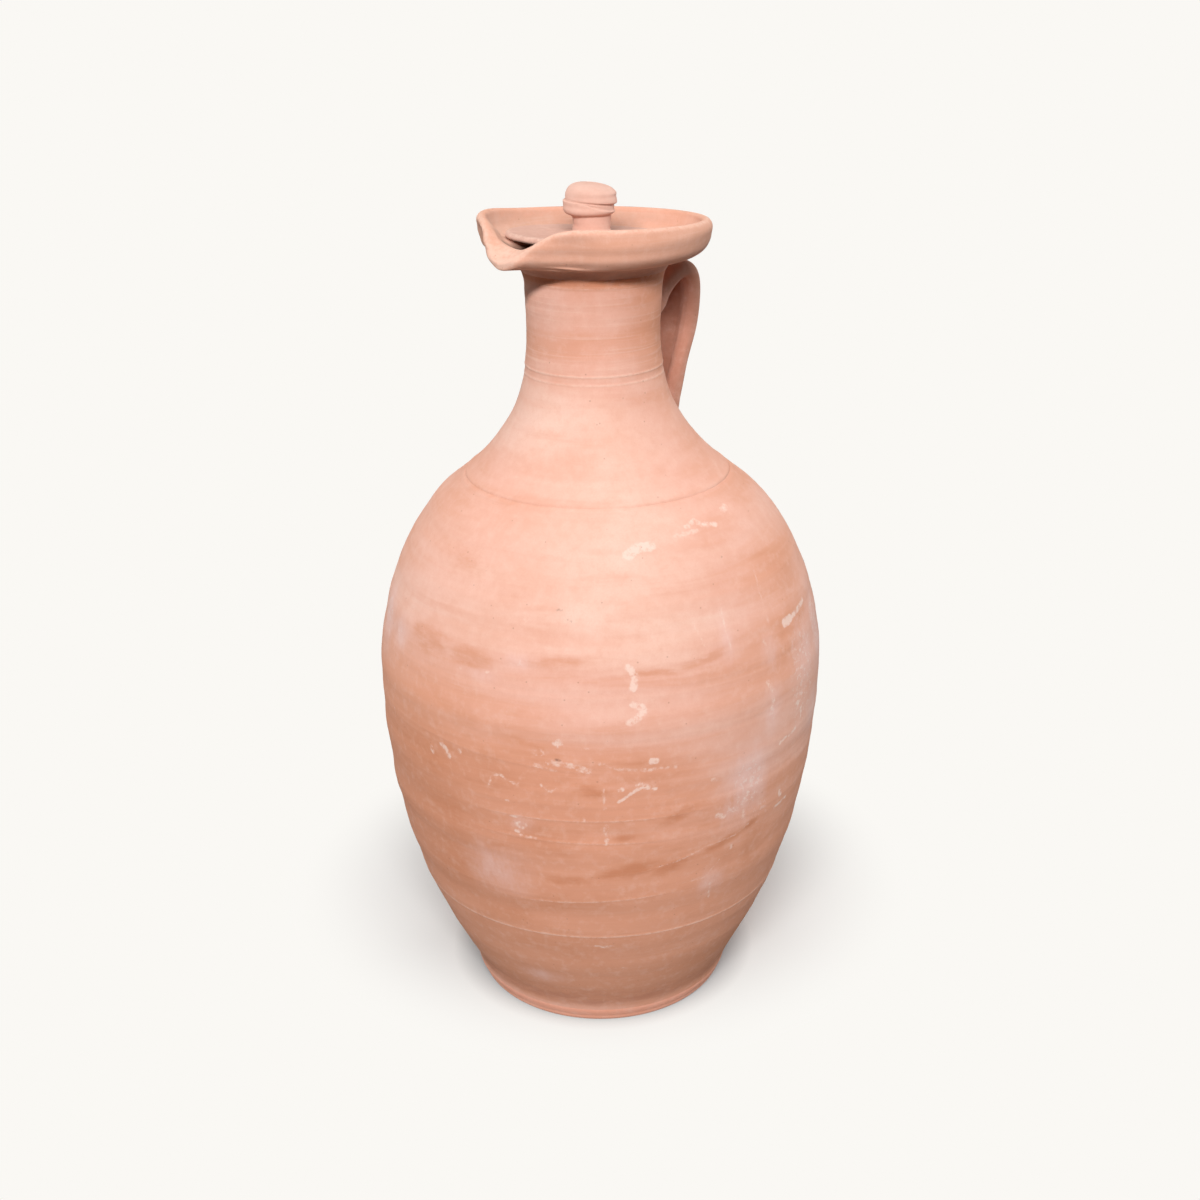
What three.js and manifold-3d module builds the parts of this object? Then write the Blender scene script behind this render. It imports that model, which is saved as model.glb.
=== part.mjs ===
import * as THREE from "three";
import { mergeVertices } from "three/addons/utils/BufferGeometryUtils.js";
import Module from "manifold-3d";

// A terracotta water jar: a body thrown in sections and luted together with slip, a strap handle,
// a mouth pressed into a pouring lip, and a loose lid with a knob.
// Millimetres, +Z up. The origin is the middle of the resting face. The pouring lip points along -X.

// Joints between pieces
const SLIP_FILM = 0.3; // slip between two luted faces, and the air under the loose lid

// Foot
const FOOT_RADIUS = 66.5;
const FOOT_HEIGHT = 9;
const FOOT_BASE_ROUND = 3; // rounding where the foot meets the table
const FOOT_TOP_ROUND = 2;

// Heights of the thrown sections, from the foot up
const LOWER_HEIGHT = 176;
const UPPER_HEIGHT = 95;
const CONE_HEIGHT = 53;
const NECK_HEIGHT = 45;
const MOUTH_HEIGHT = 23;

// Outer radii at the joints
const WALL_FOOT_RADIUS = 68.2;
const BELLY_RADIUS = 111.4;
const SHOULDER_RADIUS = 65.8;
const RIDGE_RADIUS = 33.1;
const NECK_TOP_RADIUS = 33.2;

// Lean of the wall at the joints, in degrees from upright, outwards as it rises
const WALL_FOOT_LEAN_ANGLE = 7;
const BELLY_LEAN_ANGLE = 0;
const SHOULDER_LEAN_ANGLE = -56;
const RIDGE_LEAN_ANGLE = -6;
const NECK_TOP_LEAN_ANGLE = 3;

// Ease of each section's outline at its two joints: the share of its height that keeps the joint's lean
const LOWER_FOOT_EASE = 0.1;
const LOWER_BELLY_EASE = 0.66;
const UPPER_BELLY_EASE = 0.085;
const UPPER_SHOULDER_EASE = 0.295;
const CONE_SHOULDER_EASE = 0.11;
const CONE_RIDGE_EASE = 0.51;
const NECK_RIDGE_EASE = 0.38;
const NECK_TOP_EASE = 0.556;

// Wall thickness of each section
const LOWER_WALL = 8;
const UPPER_WALL = 7;
const CONE_WALL = 6.5;
const NECK_WALL = 6;

// The turned groove at the shoulder joint
const GROOVE_DEPTH = 0.8;
const GROOVE_HALF_WIDTH = 1.2;

// Mouth: a shallow bowl with a flat seat for the lid
const BORE_ROUND = 3.5; // rounding from the neck's bore up to the seat
const SEAT_WIDTH = 10.3; // how far the lid lies on its seat
const SEAT_HEIGHT = 10.5; // seat above the neck joint
const BOWL_FLARE = 6.6; // how far the bowl's inner wall opens above the seat
const LIP_THICKNESS = 6.4;
const BOWL_UNDERSIDE = 5.6; // underside of the bowl above the neck joint
const BOWL_FILLET = 4; // rounding under the bowl, out of the neck

// Pouring lip: the rim folded out and down over a channel
const SPOUT_REACH = 4.4; // the lip's tip, outside the rim
const SPOUT_TIP_HEIGHT = 7.6; // middle of the tip above the neck joint
const SPOUT_TIP_THICKNESS = 4.6;
const SPOUT_CREST_OUT = 5.2; // the channel's highest line, outside the seat
const SPOUT_CREST_HEIGHT = 14; // the same line above the neck joint
const CHANNEL_DEPTH = 3.2; // channel floor below the seat
const SPOUT_SAG = 2.3; // how far the bowl's underside is pressed down below the channel
const SPOUT_HALF_ANGLE = 19; // degrees, where the fold has fallen to a third
const CHEEK_PINCH = 4; // rim pressed in on either side of the lip
const CHEEK_ANGLE = 34; // degrees from the lip's middle to each cheek
const CHEEK_SPREAD = 13; // degrees

// Lid and knob
const LID_CLEARANCE = 1.2; // lid's edge to the bowl
const LID_THICKNESS = 5;
const LID_EDGE_ROUND = 2.2;
const KNOB_FOOT_RADIUS = 11.5;
const KNOB_STEM_RADIUS = 8.8;
const KNOB_RING_RADIUS = 13;
const KNOB_GROOVE_RADIUS = 11.9;
const KNOB_DOME_RADIUS = 12.5;
const KNOB_STEM_HEIGHT = 7.4;
const KNOB_RING_HEIGHT = 5.6;
const KNOB_DOME_HEIGHT = 10.6;

// Strap handle, along +X
const STRAP_WIDTH = 25;
const STRAP_THICKNESS = 10.5;
const THUMB_HOLLOW = 2; // lengthwise hollow on the strap's inner face
const FINGER_GAP = 24; // between the neck and the strap
const HANDLE_TOP_DROP = 18.5; // middle of the upper root below the neck's top
const HANDLE_CLIMB = 37; // how strongly the strap is pulled up out of its upper root
const HANDLE_KNUCKLE = 16; // how much further out it is pulled at the top than at the bottom
const HANDLE_FOOT_RISE = 23; // middle of the lower root above the shoulder joint
const HANDLE_FALL = 34; // how steeply it comes down to its lower root
const ROOT_DEPTH = 12; // run of strap past the wall's face, cut off by the wall
const ROOT_SWELL = 0.45; // share by which the strap thickens where it is smeared on
const ROOT_LENGTH = 14; // length of strap over which that thickening fades

// Fired clay
const PALE_CLAY = 0xeab89f;
const PEACH_CLAY = 0xe2a98f;
const RED_CLAY = 0xd09474;
const CLAY_ROUGHNESS = 0.9;

// Facets
const BODY_SEGMENTS = 40;
const LOWER_STEPS = 10;
const UPPER_STEPS = 9;
const CONE_STEPS = 8;
const NECK_STEPS = 6;
const ROUND_STEPS = 3;
const CURVE_STEPS = 4;
const MOUTH_SEGMENTS = 60;
const KNOB_SEGMENTS = 28;
const STRAP_STEPS = 26;
const STRAP_SIDES = 14;
const WELD_DISTANCE = 1e-4; // corners closer than this are one corner
const HALVINGS = 30; // steps of the search for a radius at a height

const wasm = await Module();
wasm.setup();

const footTop = FOOT_HEIGHT;
const belly = footTop + LOWER_HEIGHT;
const shoulder = belly + UPPER_HEIGHT;
const ridge = shoulder + CONE_HEIGHT;
const neckTop = ridge + NECK_HEIGHT;
const bore = NECK_TOP_RADIUS - NECK_WALL;
const seatInner = bore + BORE_ROUND;
const lidRadius = seatInner + SEAT_WIDTH;
const seatOuter = lidRadius + LID_CLEARANCE;
const rimRadius = seatOuter + BOWL_FLARE + LIP_THICKNESS;

const group = new THREE.Group();

function addPiece(name, geometry, color) {
  const material = new THREE.MeshStandardMaterial({ color, roughness: CLAY_ROUGHNESS, metalness: 0 });
  const mesh = new THREE.Mesh(geometry, material);
  mesh.name = name;
  group.add(mesh);
}

function vec(x, y) {
  return new THREE.Vector2(x, y);
}

// A profile of radius and height turned about the Z axis.
function turn(profile, segments) {
  return new THREE.LatheGeometry(profile, segments).rotateX(Math.PI / 2);
}

// Outer outline of one thrown section: a curve that leaves and reaches its joints at their leans.
function sectionCurve(section) {
  const { bottom, top } = section;
  const height = top.z - bottom.z;
  const rise = height * bottom.ease;
  const fall = height * top.ease;
  return new THREE.CubicBezierCurve(
    vec(bottom.radius, bottom.z),
    vec(bottom.radius + bottom.slope * rise, bottom.z + rise),
    vec(top.radius - top.slope * fall, top.z - fall),
    vec(top.radius, top.z),
  );
}

// A joint's share in an outline: its radius and height, the wall's slope there and the ease.
function joint(radius, z, leanAngle, ease) {
  return { radius, z, slope: Math.tan(THREE.MathUtils.degToRad(leanAngle)), ease };
}

const lowerSection = {
  bottom: joint(WALL_FOOT_RADIUS, footTop + SLIP_FILM, WALL_FOOT_LEAN_ANGLE, LOWER_FOOT_EASE),
  top: joint(BELLY_RADIUS, belly, BELLY_LEAN_ANGLE, LOWER_BELLY_EASE),
  wall: LOWER_WALL,
  steps: LOWER_STEPS,
};
const upperSection = {
  bottom: joint(BELLY_RADIUS, belly + SLIP_FILM, BELLY_LEAN_ANGLE, UPPER_BELLY_EASE),
  top: joint(SHOULDER_RADIUS, shoulder, SHOULDER_LEAN_ANGLE, UPPER_SHOULDER_EASE),
  wall: UPPER_WALL,
  steps: UPPER_STEPS,
};
const coneSection = {
  bottom: joint(SHOULDER_RADIUS, shoulder + SLIP_FILM, SHOULDER_LEAN_ANGLE, CONE_SHOULDER_EASE),
  top: joint(RIDGE_RADIUS, ridge, RIDGE_LEAN_ANGLE, CONE_RIDGE_EASE),
  wall: CONE_WALL,
  steps: CONE_STEPS,
};
const neckSection = {
  bottom: joint(RIDGE_RADIUS, ridge + SLIP_FILM, RIDGE_LEAN_ANGLE, NECK_RIDGE_EASE),
  top: joint(NECK_TOP_RADIUS, neckTop, NECK_TOP_LEAN_ANGLE, NECK_TOP_EASE),
  wall: NECK_WALL,
  steps: NECK_STEPS,
};

// The wall's inner outline lies one wall thickness in, measured square to the wall.
function sectionWall(section) {
  const curve = sectionCurve(section);
  const outer = curve.getPoints(section.steps);
  const inner = outer.map((point, i) => {
    const tangent = curve.getTangent(i / section.steps);
    return vec(point.x - section.wall / tangent.y, point.y);
  });
  return { outer, inner };
}

// Presses the joint's edge in, with a bevel next to it, so that two sections meet in a groove.
function bevelJoint(outer, atTop) {
  const edge = atTop ? outer.length - 1 : 0;
  const next = atTop ? edge - 1 : 1;
  const along = outer[next].clone().sub(outer[edge]).setLength(GROOVE_HALF_WIDTH);
  const bevel = outer[edge].clone().add(along);
  outer[edge].x -= GROOVE_DEPTH;
  outer.splice(atTop ? edge : 1, 0, bevel);
}

function sectionGeometry({ outer, inner }) {
  return turn([...outer, ...inner.reverse(), outer[0]], BODY_SEGMENTS);
}

// Foot: a thrown disc with a rounded edge, the floor of the jar
function footGeometry() {
  const path = new THREE.Path();
  path.moveTo(0, 0);
  path.lineTo(FOOT_RADIUS - FOOT_BASE_ROUND, 0);
  path.absarc(FOOT_RADIUS - FOOT_BASE_ROUND, FOOT_BASE_ROUND, FOOT_BASE_ROUND, -Math.PI / 2, 0, false);
  path.absarc(FOOT_RADIUS - FOOT_TOP_ROUND, footTop - FOOT_TOP_ROUND, FOOT_TOP_ROUND, 0, Math.PI / 2, false);
  path.lineTo(0, footTop);
  return turn(path.getPoints(ROUND_STEPS), BODY_SEGMENTS);
}

// Body sections: lower and upper wall meet at the belly, the cone and the neck at a turned ridge
const lowerWall = sectionWall(lowerSection);
const upperWall = sectionWall(upperSection);
const coneWall = sectionWall(coneSection);
const neckWall = sectionWall(neckSection);
bevelJoint(upperWall.outer, true);
bevelJoint(coneWall.outer, false);

// Mouth: both sections below use the same strokes, so that one can be pressed into the other.
// Each runs from the neck joint up the outside, over the rim and down the inside to the bore.
function plainMouth(base) {
  const top = base + MOUTH_HEIGHT;
  const seat = base + SEAT_HEIGHT;
  const under = base + BOWL_UNDERSIDE;
  const rimInner = rimRadius - LIP_THICKNESS;
  const lip = LIP_THICKNESS / 2;
  const path = new THREE.Path();
  path.moveTo(NECK_TOP_RADIUS, base);
  path.quadraticCurveTo(NECK_TOP_RADIUS, under, NECK_TOP_RADIUS + BOWL_FILLET, under);
  path.bezierCurveTo(seatOuter, under, rimRadius, seat - lip, rimRadius, top - lip);
  path.quadraticCurveTo(rimRadius, top, rimRadius - lip, top);
  path.quadraticCurveTo(rimInner, top, rimInner, top - lip);
  path.quadraticCurveTo(rimInner, seat, seatOuter, seat);
  path.lineTo(seatInner, seat);
  path.quadraticCurveTo(bore, seat, bore, seat - BORE_ROUND);
  path.lineTo(bore, base);
  return path.getPoints(CURVE_STEPS);
}

// The middle of the pouring lip: the channel floor dips under the lid, rises to a crest and folds
// over to a tip that hangs outside the rim.
function spoutMouth(base) {
  const under = base + BOWL_UNDERSIDE - SPOUT_SAG;
  const floor = base + SEAT_HEIGHT - CHANNEL_DEPTH;
  const crest = base + SPOUT_CREST_HEIGHT;
  const crestRadius = seatOuter + SPOUT_CREST_OUT;
  const tip = base + SPOUT_TIP_HEIGHT;
  const tipRadius = rimRadius + SPOUT_REACH;
  const lip = SPOUT_TIP_THICKNESS / 2;
  const path = new THREE.Path();
  path.moveTo(NECK_TOP_RADIUS, base);
  path.quadraticCurveTo(NECK_TOP_RADIUS, under, NECK_TOP_RADIUS + BOWL_FILLET, under);
  path.bezierCurveTo(seatOuter, under, crestRadius, tip - lip, tipRadius - lip, tip - lip);
  path.quadraticCurveTo(tipRadius, tip - lip, tipRadius, tip);
  path.quadraticCurveTo(tipRadius, tip + lip, crestRadius + lip, crest);
  path.quadraticCurveTo(crestRadius, crest + lip, lidRadius, floor);
  path.lineTo(seatInner, floor);
  path.quadraticCurveTo(bore, floor, bore, floor - BORE_ROUND);
  path.lineTo(bore, base);
  return path.getPoints(CURVE_STEPS);
}

function bell(angle, middle, spread) {
  return Math.exp(-(((angle - middle) / spread) ** 2));
}

function mouthGeometry(base) {
  const plain = plainMouth(base);
  const spout = spoutMouth(base);
  const geometry = turn([...plain, plain[0]], MOUTH_SEGMENTS);
  const position = geometry.attributes.position;
  const seat = base + SEAT_HEIGHT;
  const ring = plain.length + 1;
  for (let i = 0; i < position.count; i++) {
    const stroke = (i % ring) % plain.length;
    const x = position.getX(i);
    const y = position.getY(i);
    const angle = THREE.MathUtils.radToDeg(Math.atan2(y, -x));
    const fold = bell(angle, 0, SPOUT_HALF_ANGLE);
    const cheek = bell(Math.abs(angle), CHEEK_ANGLE, CHEEK_SPREAD);
    const start = plain[stroke];
    const end = spout[stroke];
    const above = THREE.MathUtils.clamp((start.y - seat) / (MOUTH_HEIGHT - SEAT_HEIGHT), 0, 1);
    const radius = THREE.MathUtils.lerp(start.x, end.x, fold) - CHEEK_PINCH * cheek * above;
    const z = THREE.MathUtils.lerp(start.y, end.y, fold);
    const stretch = radius / Math.hypot(x, y);
    position.setXYZ(i, x * stretch, y * stretch, z);
  }
  return geometry;
}

// Lid: a flat disc with a rounded edge, resting on the bowl's seat
function lidGeometry(base) {
  const top = base + LID_THICKNESS;
  const edge = lidRadius - LID_EDGE_ROUND;
  const path = new THREE.Path();
  path.moveTo(0, base);
  path.lineTo(edge, base);
  path.absarc(edge, base + LID_EDGE_ROUND, LID_EDGE_ROUND, -Math.PI / 2, 0, false);
  path.absarc(edge, top - LID_EDGE_ROUND, LID_EDGE_ROUND, 0, Math.PI / 2, false);
  path.lineTo(0, top);
  return turn(path.getPoints(ROUND_STEPS), BODY_SEGMENTS);
}

// Knob: a stem flared onto the lid, a ring, a turned groove and a domed cap
function knobGeometry(base) {
  const stemTop = base + KNOB_STEM_HEIGHT;
  const grooveZ = stemTop + KNOB_RING_HEIGHT;
  const top = grooveZ + KNOB_DOME_HEIGHT;
  const path = new THREE.Path();
  path.moveTo(0, base);
  path.lineTo(KNOB_FOOT_RADIUS, base);
  path.quadraticCurveTo(KNOB_STEM_RADIUS, base, KNOB_STEM_RADIUS, (base + stemTop) / 2);
  path.lineTo(KNOB_STEM_RADIUS, stemTop);
  path.quadraticCurveTo(KNOB_RING_RADIUS, stemTop, KNOB_RING_RADIUS, (stemTop + grooveZ) / 2);
  path.quadraticCurveTo(KNOB_RING_RADIUS, grooveZ, KNOB_GROOVE_RADIUS, grooveZ);
  path.quadraticCurveTo(KNOB_DOME_RADIUS, grooveZ, KNOB_DOME_RADIUS, grooveZ + KNOB_DOME_HEIGHT / 4);
  path.quadraticCurveTo(KNOB_DOME_RADIUS, top, 0, top);
  return turn(path.getPoints(CURVE_STEPS), KNOB_SEGMENTS);
}

function toSolid(geometry) {
  const bare = geometry.clone();
  bare.deleteAttribute("normal");
  bare.deleteAttribute("uv");
  const merged = mergeVertices(bare, WELD_DISTANCE);
  const vertProperties = new Float32Array(merged.attributes.position.array);
  const triVerts = new Uint32Array(merged.index.array);
  return new wasm.Manifold(new wasm.Mesh({ numProp: 3, vertProperties, triVerts }));
}

function toGeometry(solid) {
  const mesh = solid.getMesh();
  const geometry = new THREE.BufferGeometry();
  geometry.setAttribute("position", new THREE.BufferAttribute(new Float32Array(mesh.vertProperties), 3));
  geometry.setIndex(new THREE.BufferAttribute(new Uint32Array(mesh.triVerts), 1));
  geometry.computeVertexNormals();
  return geometry;
}

// The strap's cross-section: an oval with a hollow along the face towards the neck.
function strapSection() {
  const shape = new THREE.Shape();
  for (let i = 0; i < STRAP_SIDES; i++) {
    const angle = (i / STRAP_SIDES) * 2 * Math.PI;
    const across = Math.cos(angle);
    const through = Math.sin(angle);
    const hollow = through < 0 ? THUMB_HOLLOW * through ** 2 : 0;
    const x = (STRAP_WIDTH / 2) * across;
    const y = (STRAP_THICKNESS / 2) * through + hollow;
    if (i === 0) {
      shape.moveTo(x, y);
    } else {
      shape.lineTo(x, y);
    }
  }
  shape.closePath();
  return shape;
}

// Outer radius of a section at a height, by halving the stretch of its curve that holds it.
function radiusAt(section, z) {
  const curve = sectionCurve(section);
  let low = 0;
  let high = 1;
  for (let i = 0; i < HALVINGS; i++) {
    const middle = (low + high) / 2;
    if (curve.getPoint(middle).y < z) {
      low = middle;
    } else {
      high = middle;
    }
  }
  return curve.getPoint(low).x;
}

// The strap's middle line: out of the neck, over a knuckle and down to the cone.
// Both ends run straight on into the jar, which cuts them off.
function strapPath() {
  const topZ = neckTop - HANDLE_TOP_DROP;
  const footZ = shoulder + HANDLE_FOOT_RISE;
  const top = new THREE.Vector3(radiusAt(neckSection, topZ), 0, topZ);
  const foot = new THREE.Vector3(radiusAt(coneSection, footZ), 0, footZ);
  const reach = top.x + FINGER_GAP + STRAP_THICKNESS / 2;
  // Halfway along, a cubic curve lies at (top + 3 upper + 3 lower + foot) / 8: that point is the reach.
  const pull = (8 * reach - top.x - foot.x) / 6;
  const upper = new THREE.Vector3(pull + HANDLE_KNUCKLE / 2, 0, topZ + HANDLE_CLIMB);
  const lower = new THREE.Vector3(pull - HANDLE_KNUCKLE / 2, 0, footZ + HANDLE_FALL);
  const topEnd = top.clone().sub(upper).setLength(ROOT_DEPTH).add(top);
  const footEnd = foot.clone().sub(lower).setLength(ROOT_DEPTH).add(foot);
  const path = new THREE.CurvePath();
  path.add(new THREE.LineCurve3(topEnd, top));
  path.add(new THREE.CubicBezierCurve3(top, upper, lower, foot));
  path.add(new THREE.LineCurve3(foot, footEnd));
  return path;
}

// Thickens the strap about its middle line towards the walls that it is smeared on.
function swellRoots(geometry, path) {
  const middle = path.getSpacedPoints(STRAP_STEPS);
  const length = path.getLength();
  const position = geometry.attributes.position;
  const point = new THREE.Vector3();
  for (let i = 0; i < position.count; i++) {
    point.fromBufferAttribute(position, i);
    const distances = middle.map((p) => p.distanceTo(point));
    const step = distances.indexOf(Math.min(...distances));
    const along = (step / STRAP_STEPS) * length;
    const away = Math.max(0, Math.min(along, length - along) - ROOT_DEPTH);
    const swell = ROOT_SWELL * bell(away, 0, ROOT_LENGTH);
    point.sub(middle[step]);
    point.multiply(new THREE.Vector3(1 + swell, 1 + swell / 2, 1 + swell));
    point.add(middle[step]);
    position.setXYZ(i, point.x, point.y, point.z);
  }
  return geometry;
}

// The jar's outline from belly to neck, filled and grown by the slip film
function jarTool() {
  const sections = [upperSection, coneSection, neckSection];
  const outline = sections.flatMap((section) => sectionCurve(section).getPoints(section.steps));
  const grown = outline.map((p) => vec(p.x + SLIP_FILM, p.y));
  return turn([vec(0, outline[0].y), ...grown, vec(0, neckTop)], BODY_SEGMENTS);
}

function handleGeometry() {
  const path = strapPath();
  const options = { steps: STRAP_STEPS, bevelEnabled: false, extrudePath: path };
  const strap = swellRoots(new THREE.ExtrudeGeometry(strapSection(), options), path);
  return toGeometry(toSolid(strap).subtract(toSolid(jarTool())));
}

const seatTop = neckTop + SLIP_FILM + SEAT_HEIGHT;
const lidBase = seatTop + SLIP_FILM;
addPiece("foot", footGeometry(), RED_CLAY);
addPiece("lower_body", sectionGeometry(lowerWall), RED_CLAY);
addPiece("upper_body", sectionGeometry(upperWall), PALE_CLAY);
addPiece("shoulder_cone", sectionGeometry(coneWall), PALE_CLAY);
addPiece("neck", sectionGeometry(neckWall), PEACH_CLAY);
addPiece("mouth", mouthGeometry(neckTop + SLIP_FILM), PEACH_CLAY);
addPiece("handle", handleGeometry(), PEACH_CLAY);
addPiece("lid", lidGeometry(lidBase), PALE_CLAY);
addPiece("lid_knob", knobGeometry(lidBase + LID_THICKNESS + SLIP_FILM), PALE_CLAY);

export default group;
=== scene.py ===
# %% [markdown]
# # A terracotta water jar
# The jar is unglazed earthenware, thrown on a wheel in sections that were luted together with slip:
# a foot, two halves of the body, a cone, a neck and a bowl-shaped mouth, with a pulled strap handle and
# a loose lid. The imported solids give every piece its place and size. They are faceted and bare, so each one
# is dressed here with a finer skin that has the throwing lines, the dents and the finish of fired clay.

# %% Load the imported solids
import math

import bpy
import numpy as np
from mathutils import Matrix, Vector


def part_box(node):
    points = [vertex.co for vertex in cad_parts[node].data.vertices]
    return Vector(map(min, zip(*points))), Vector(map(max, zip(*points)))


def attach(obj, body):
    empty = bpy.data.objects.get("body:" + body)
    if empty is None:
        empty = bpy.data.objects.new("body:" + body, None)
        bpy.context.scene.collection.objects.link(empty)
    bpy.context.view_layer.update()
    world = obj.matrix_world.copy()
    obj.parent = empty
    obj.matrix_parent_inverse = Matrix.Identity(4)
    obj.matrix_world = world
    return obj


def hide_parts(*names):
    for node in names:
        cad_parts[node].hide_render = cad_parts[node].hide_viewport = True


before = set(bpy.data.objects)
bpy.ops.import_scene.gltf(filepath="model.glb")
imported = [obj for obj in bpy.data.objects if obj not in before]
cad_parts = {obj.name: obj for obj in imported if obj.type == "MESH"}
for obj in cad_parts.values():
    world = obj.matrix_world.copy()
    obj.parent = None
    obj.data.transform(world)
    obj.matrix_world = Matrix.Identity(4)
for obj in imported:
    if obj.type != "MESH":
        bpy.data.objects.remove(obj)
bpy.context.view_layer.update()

MM = 0.001


def box_mm(node):
    """Lowest and highest corner of a solid, in millimetres."""
    low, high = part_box(node)
    return np.array(low) / MM, np.array(high) / MM


print("solids:", ", ".join(sorted(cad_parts)))

# %% [markdown]
# ## The camera
# The photograph was taken from a step away, a little above the jar's mouth. The jar stands with its pouring
# lip towards the lower left, so the camera looks from between -X and -Y. Its place, tilt and lens were worked
# out from the ellipses of the foot, the shoulder groove and the neck ridge.

# %% Place the camera
IMAGE_WIDTH = 1200  # pixels
SENSOR = 36  # millimetres
FOCAL_PIXELS = 1582.5
CAMERA_AZIMUTH = math.radians(-46)
CAMERA_DISTANCE = 748.6  # from the jar's axis, level
CAMERA_HEIGHT = 508.4
CAMERA_TILT = 0.3795  # radians below the horizon
CAMERA_ROLL = -0.0144
PRINCIPAL_X = 597.9  # pixel column that the lens points at

ahead = np.array([-math.sin(CAMERA_AZIMUTH), math.cos(CAMERA_AZIMUTH), 0])
across = np.array([math.cos(CAMERA_AZIMUTH), math.sin(CAMERA_AZIMUTH), 0])
upright = np.array([0, 0, 1])
forward = math.cos(CAMERA_TILT) * ahead - math.sin(CAMERA_TILT) * upright
down = -math.sin(CAMERA_TILT) * ahead - math.cos(CAMERA_TILT) * upright
image_right = math.cos(CAMERA_ROLL) * across - math.sin(CAMERA_ROLL) * down
image_down = math.sin(CAMERA_ROLL) * across + math.cos(CAMERA_ROLL) * down

camera_data = bpy.data.cameras.new("camera")
camera_data.sensor_width = SENSOR
camera_data.lens = SENSOR * FOCAL_PIXELS / IMAGE_WIDTH
camera_data.shift_x = 0.5 - PRINCIPAL_X / IMAGE_WIDTH
camera = bpy.data.objects.new("camera", camera_data)
bpy.context.scene.collection.objects.link(camera)
turned = Matrix([image_right, -image_down, -forward]).transposed().to_4x4()
turned.translation = MM * (CAMERA_HEIGHT * upright - CAMERA_DISTANCE * ahead)
camera.matrix_world = turned
bpy.context.scene.camera = camera
print("camera at", [round(x, 3) for x in turned.translation], "lens", round(camera_data.lens, 2))

# %% [markdown]
# ## Skins from grids
# Every piece is a grid of points: rings of points one above the other. A wall's rings run up the outside and
# down the inside and join again at the bottom. A lid or a strap has a single point at either end instead.
# One function turns such a grid into a closed mesh, and the sign of the enclosed volume tells whether its
# faces point outwards.

# %% Turn a grid into a mesh
SHARP_EDGE = math.radians(50)


def flatten(grid, poles):
    """The grid's values in the mesh's order of points: rings in turn, with one point for each pole."""
    if not poles:
        return grid.reshape(-1, *grid.shape[2:])
    inside = grid[1:-1].reshape(-1, *grid.shape[2:])
    return np.concatenate([grid[:1, 0], inside, grid[-1:, 0]])


def faces_of(rows, steps, poles):
    """Corners of the quads between rings, and of the triangles from the end rings to the poles."""
    if not poles:
        index = np.arange(rows * steps).reshape(rows, steps)
        above = np.roll(index, -1, axis=0)
        fans = np.empty((0, 3), int)
    else:
        ring = 1 + np.arange((rows - 2) * steps).reshape(rows - 2, steps)
        index, above = ring[:-1], ring[1:]
        first, last = ring[0], ring[-1]
        top = 1 + (rows - 2) * steps
        fan_low = np.stack([np.roll(first, -1), first, np.zeros(steps, int)], axis=-1)
        fan_high = np.stack([last, np.roll(last, -1), np.full(steps, top)], axis=-1)
        fans = np.concatenate([fan_low, fan_high])
    quads = np.stack([index, np.roll(index, -1, axis=1), np.roll(above, -1, axis=1), above], axis=-1)
    return quads.reshape(-1, 4), fans


def volume_of(points, triangles):
    """Volume enclosed by outward triangles: a sixth of the sum of the corners' triple products."""
    a, b, c = (points[triangles[:, i]] for i in range(3))
    return np.einsum("ij,ij->", a, np.cross(b, c)) / 6


def skin(name, grid, body, node, poles=False):
    """A closed mesh of a grid[ring, step] of points in millimetres, in place of a solid and on its body."""
    points = flatten(grid, poles)
    quads, fans = faces_of(*grid.shape[:2], poles)
    triangles = np.concatenate([quads[:, [0, 1, 2]], quads[:, [0, 2, 3]], fans])
    volume = volume_of(points, triangles)
    if volume < 0:
        quads, fans = quads[:, ::-1], fans[:, ::-1]
    corners = np.concatenate([quads.ravel(), fans.ravel()])
    starts = np.concatenate([4 * np.arange(len(quads)), 4 * len(quads) + 3 * np.arange(len(fans))])
    mesh = bpy.data.meshes.new(name)
    mesh.vertices.add(len(points))
    mesh.vertices.foreach_set("co", (points * MM).astype(np.float32).ravel())
    mesh.loops.add(len(corners))
    mesh.loops.foreach_set("vertex_index", corners.astype(np.int32))
    mesh.polygons.add(len(starts))
    mesh.polygons.foreach_set("loop_start", starts.astype(np.int32))
    mesh.polygons.foreach_set("use_smooth", np.ones(len(starts), bool))
    mesh.update(calc_edges=True)
    mesh.set_sharp_from_angle(angle=SHARP_EDGE)
    piece = bpy.data.objects.new(name, mesh)
    bpy.context.scene.collection.objects.link(piece)
    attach(piece, body)
    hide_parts(node)
    print(name, len(triangles), "triangles,", round(abs(volume) / 1000, 1), "cubic centimetres")
    return piece


def paint(piece, name, values, poles=False):
    """Keeps one number for each point of the piece, for its material to read."""
    flat = flatten(values, poles).astype(np.float32)
    piece.data.attributes.new(name, "FLOAT", "POINT").data.foreach_set("value", flat)


# %% [markdown]
# ## The jar's outline
# The solids' rings of corners lie on the true outline of the wall, inside and out, so the outline is read
# from them and a smooth curve is laid through the rings. The sections meet in the middle of the slip between
# them. On the real jar that slip was smeared over, so the skins meet there without a gap.

# %% Read the outline from the solids
SECTIONS = ["lower_body", "upper_body", "shoulder_cone", "neck"]


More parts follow.
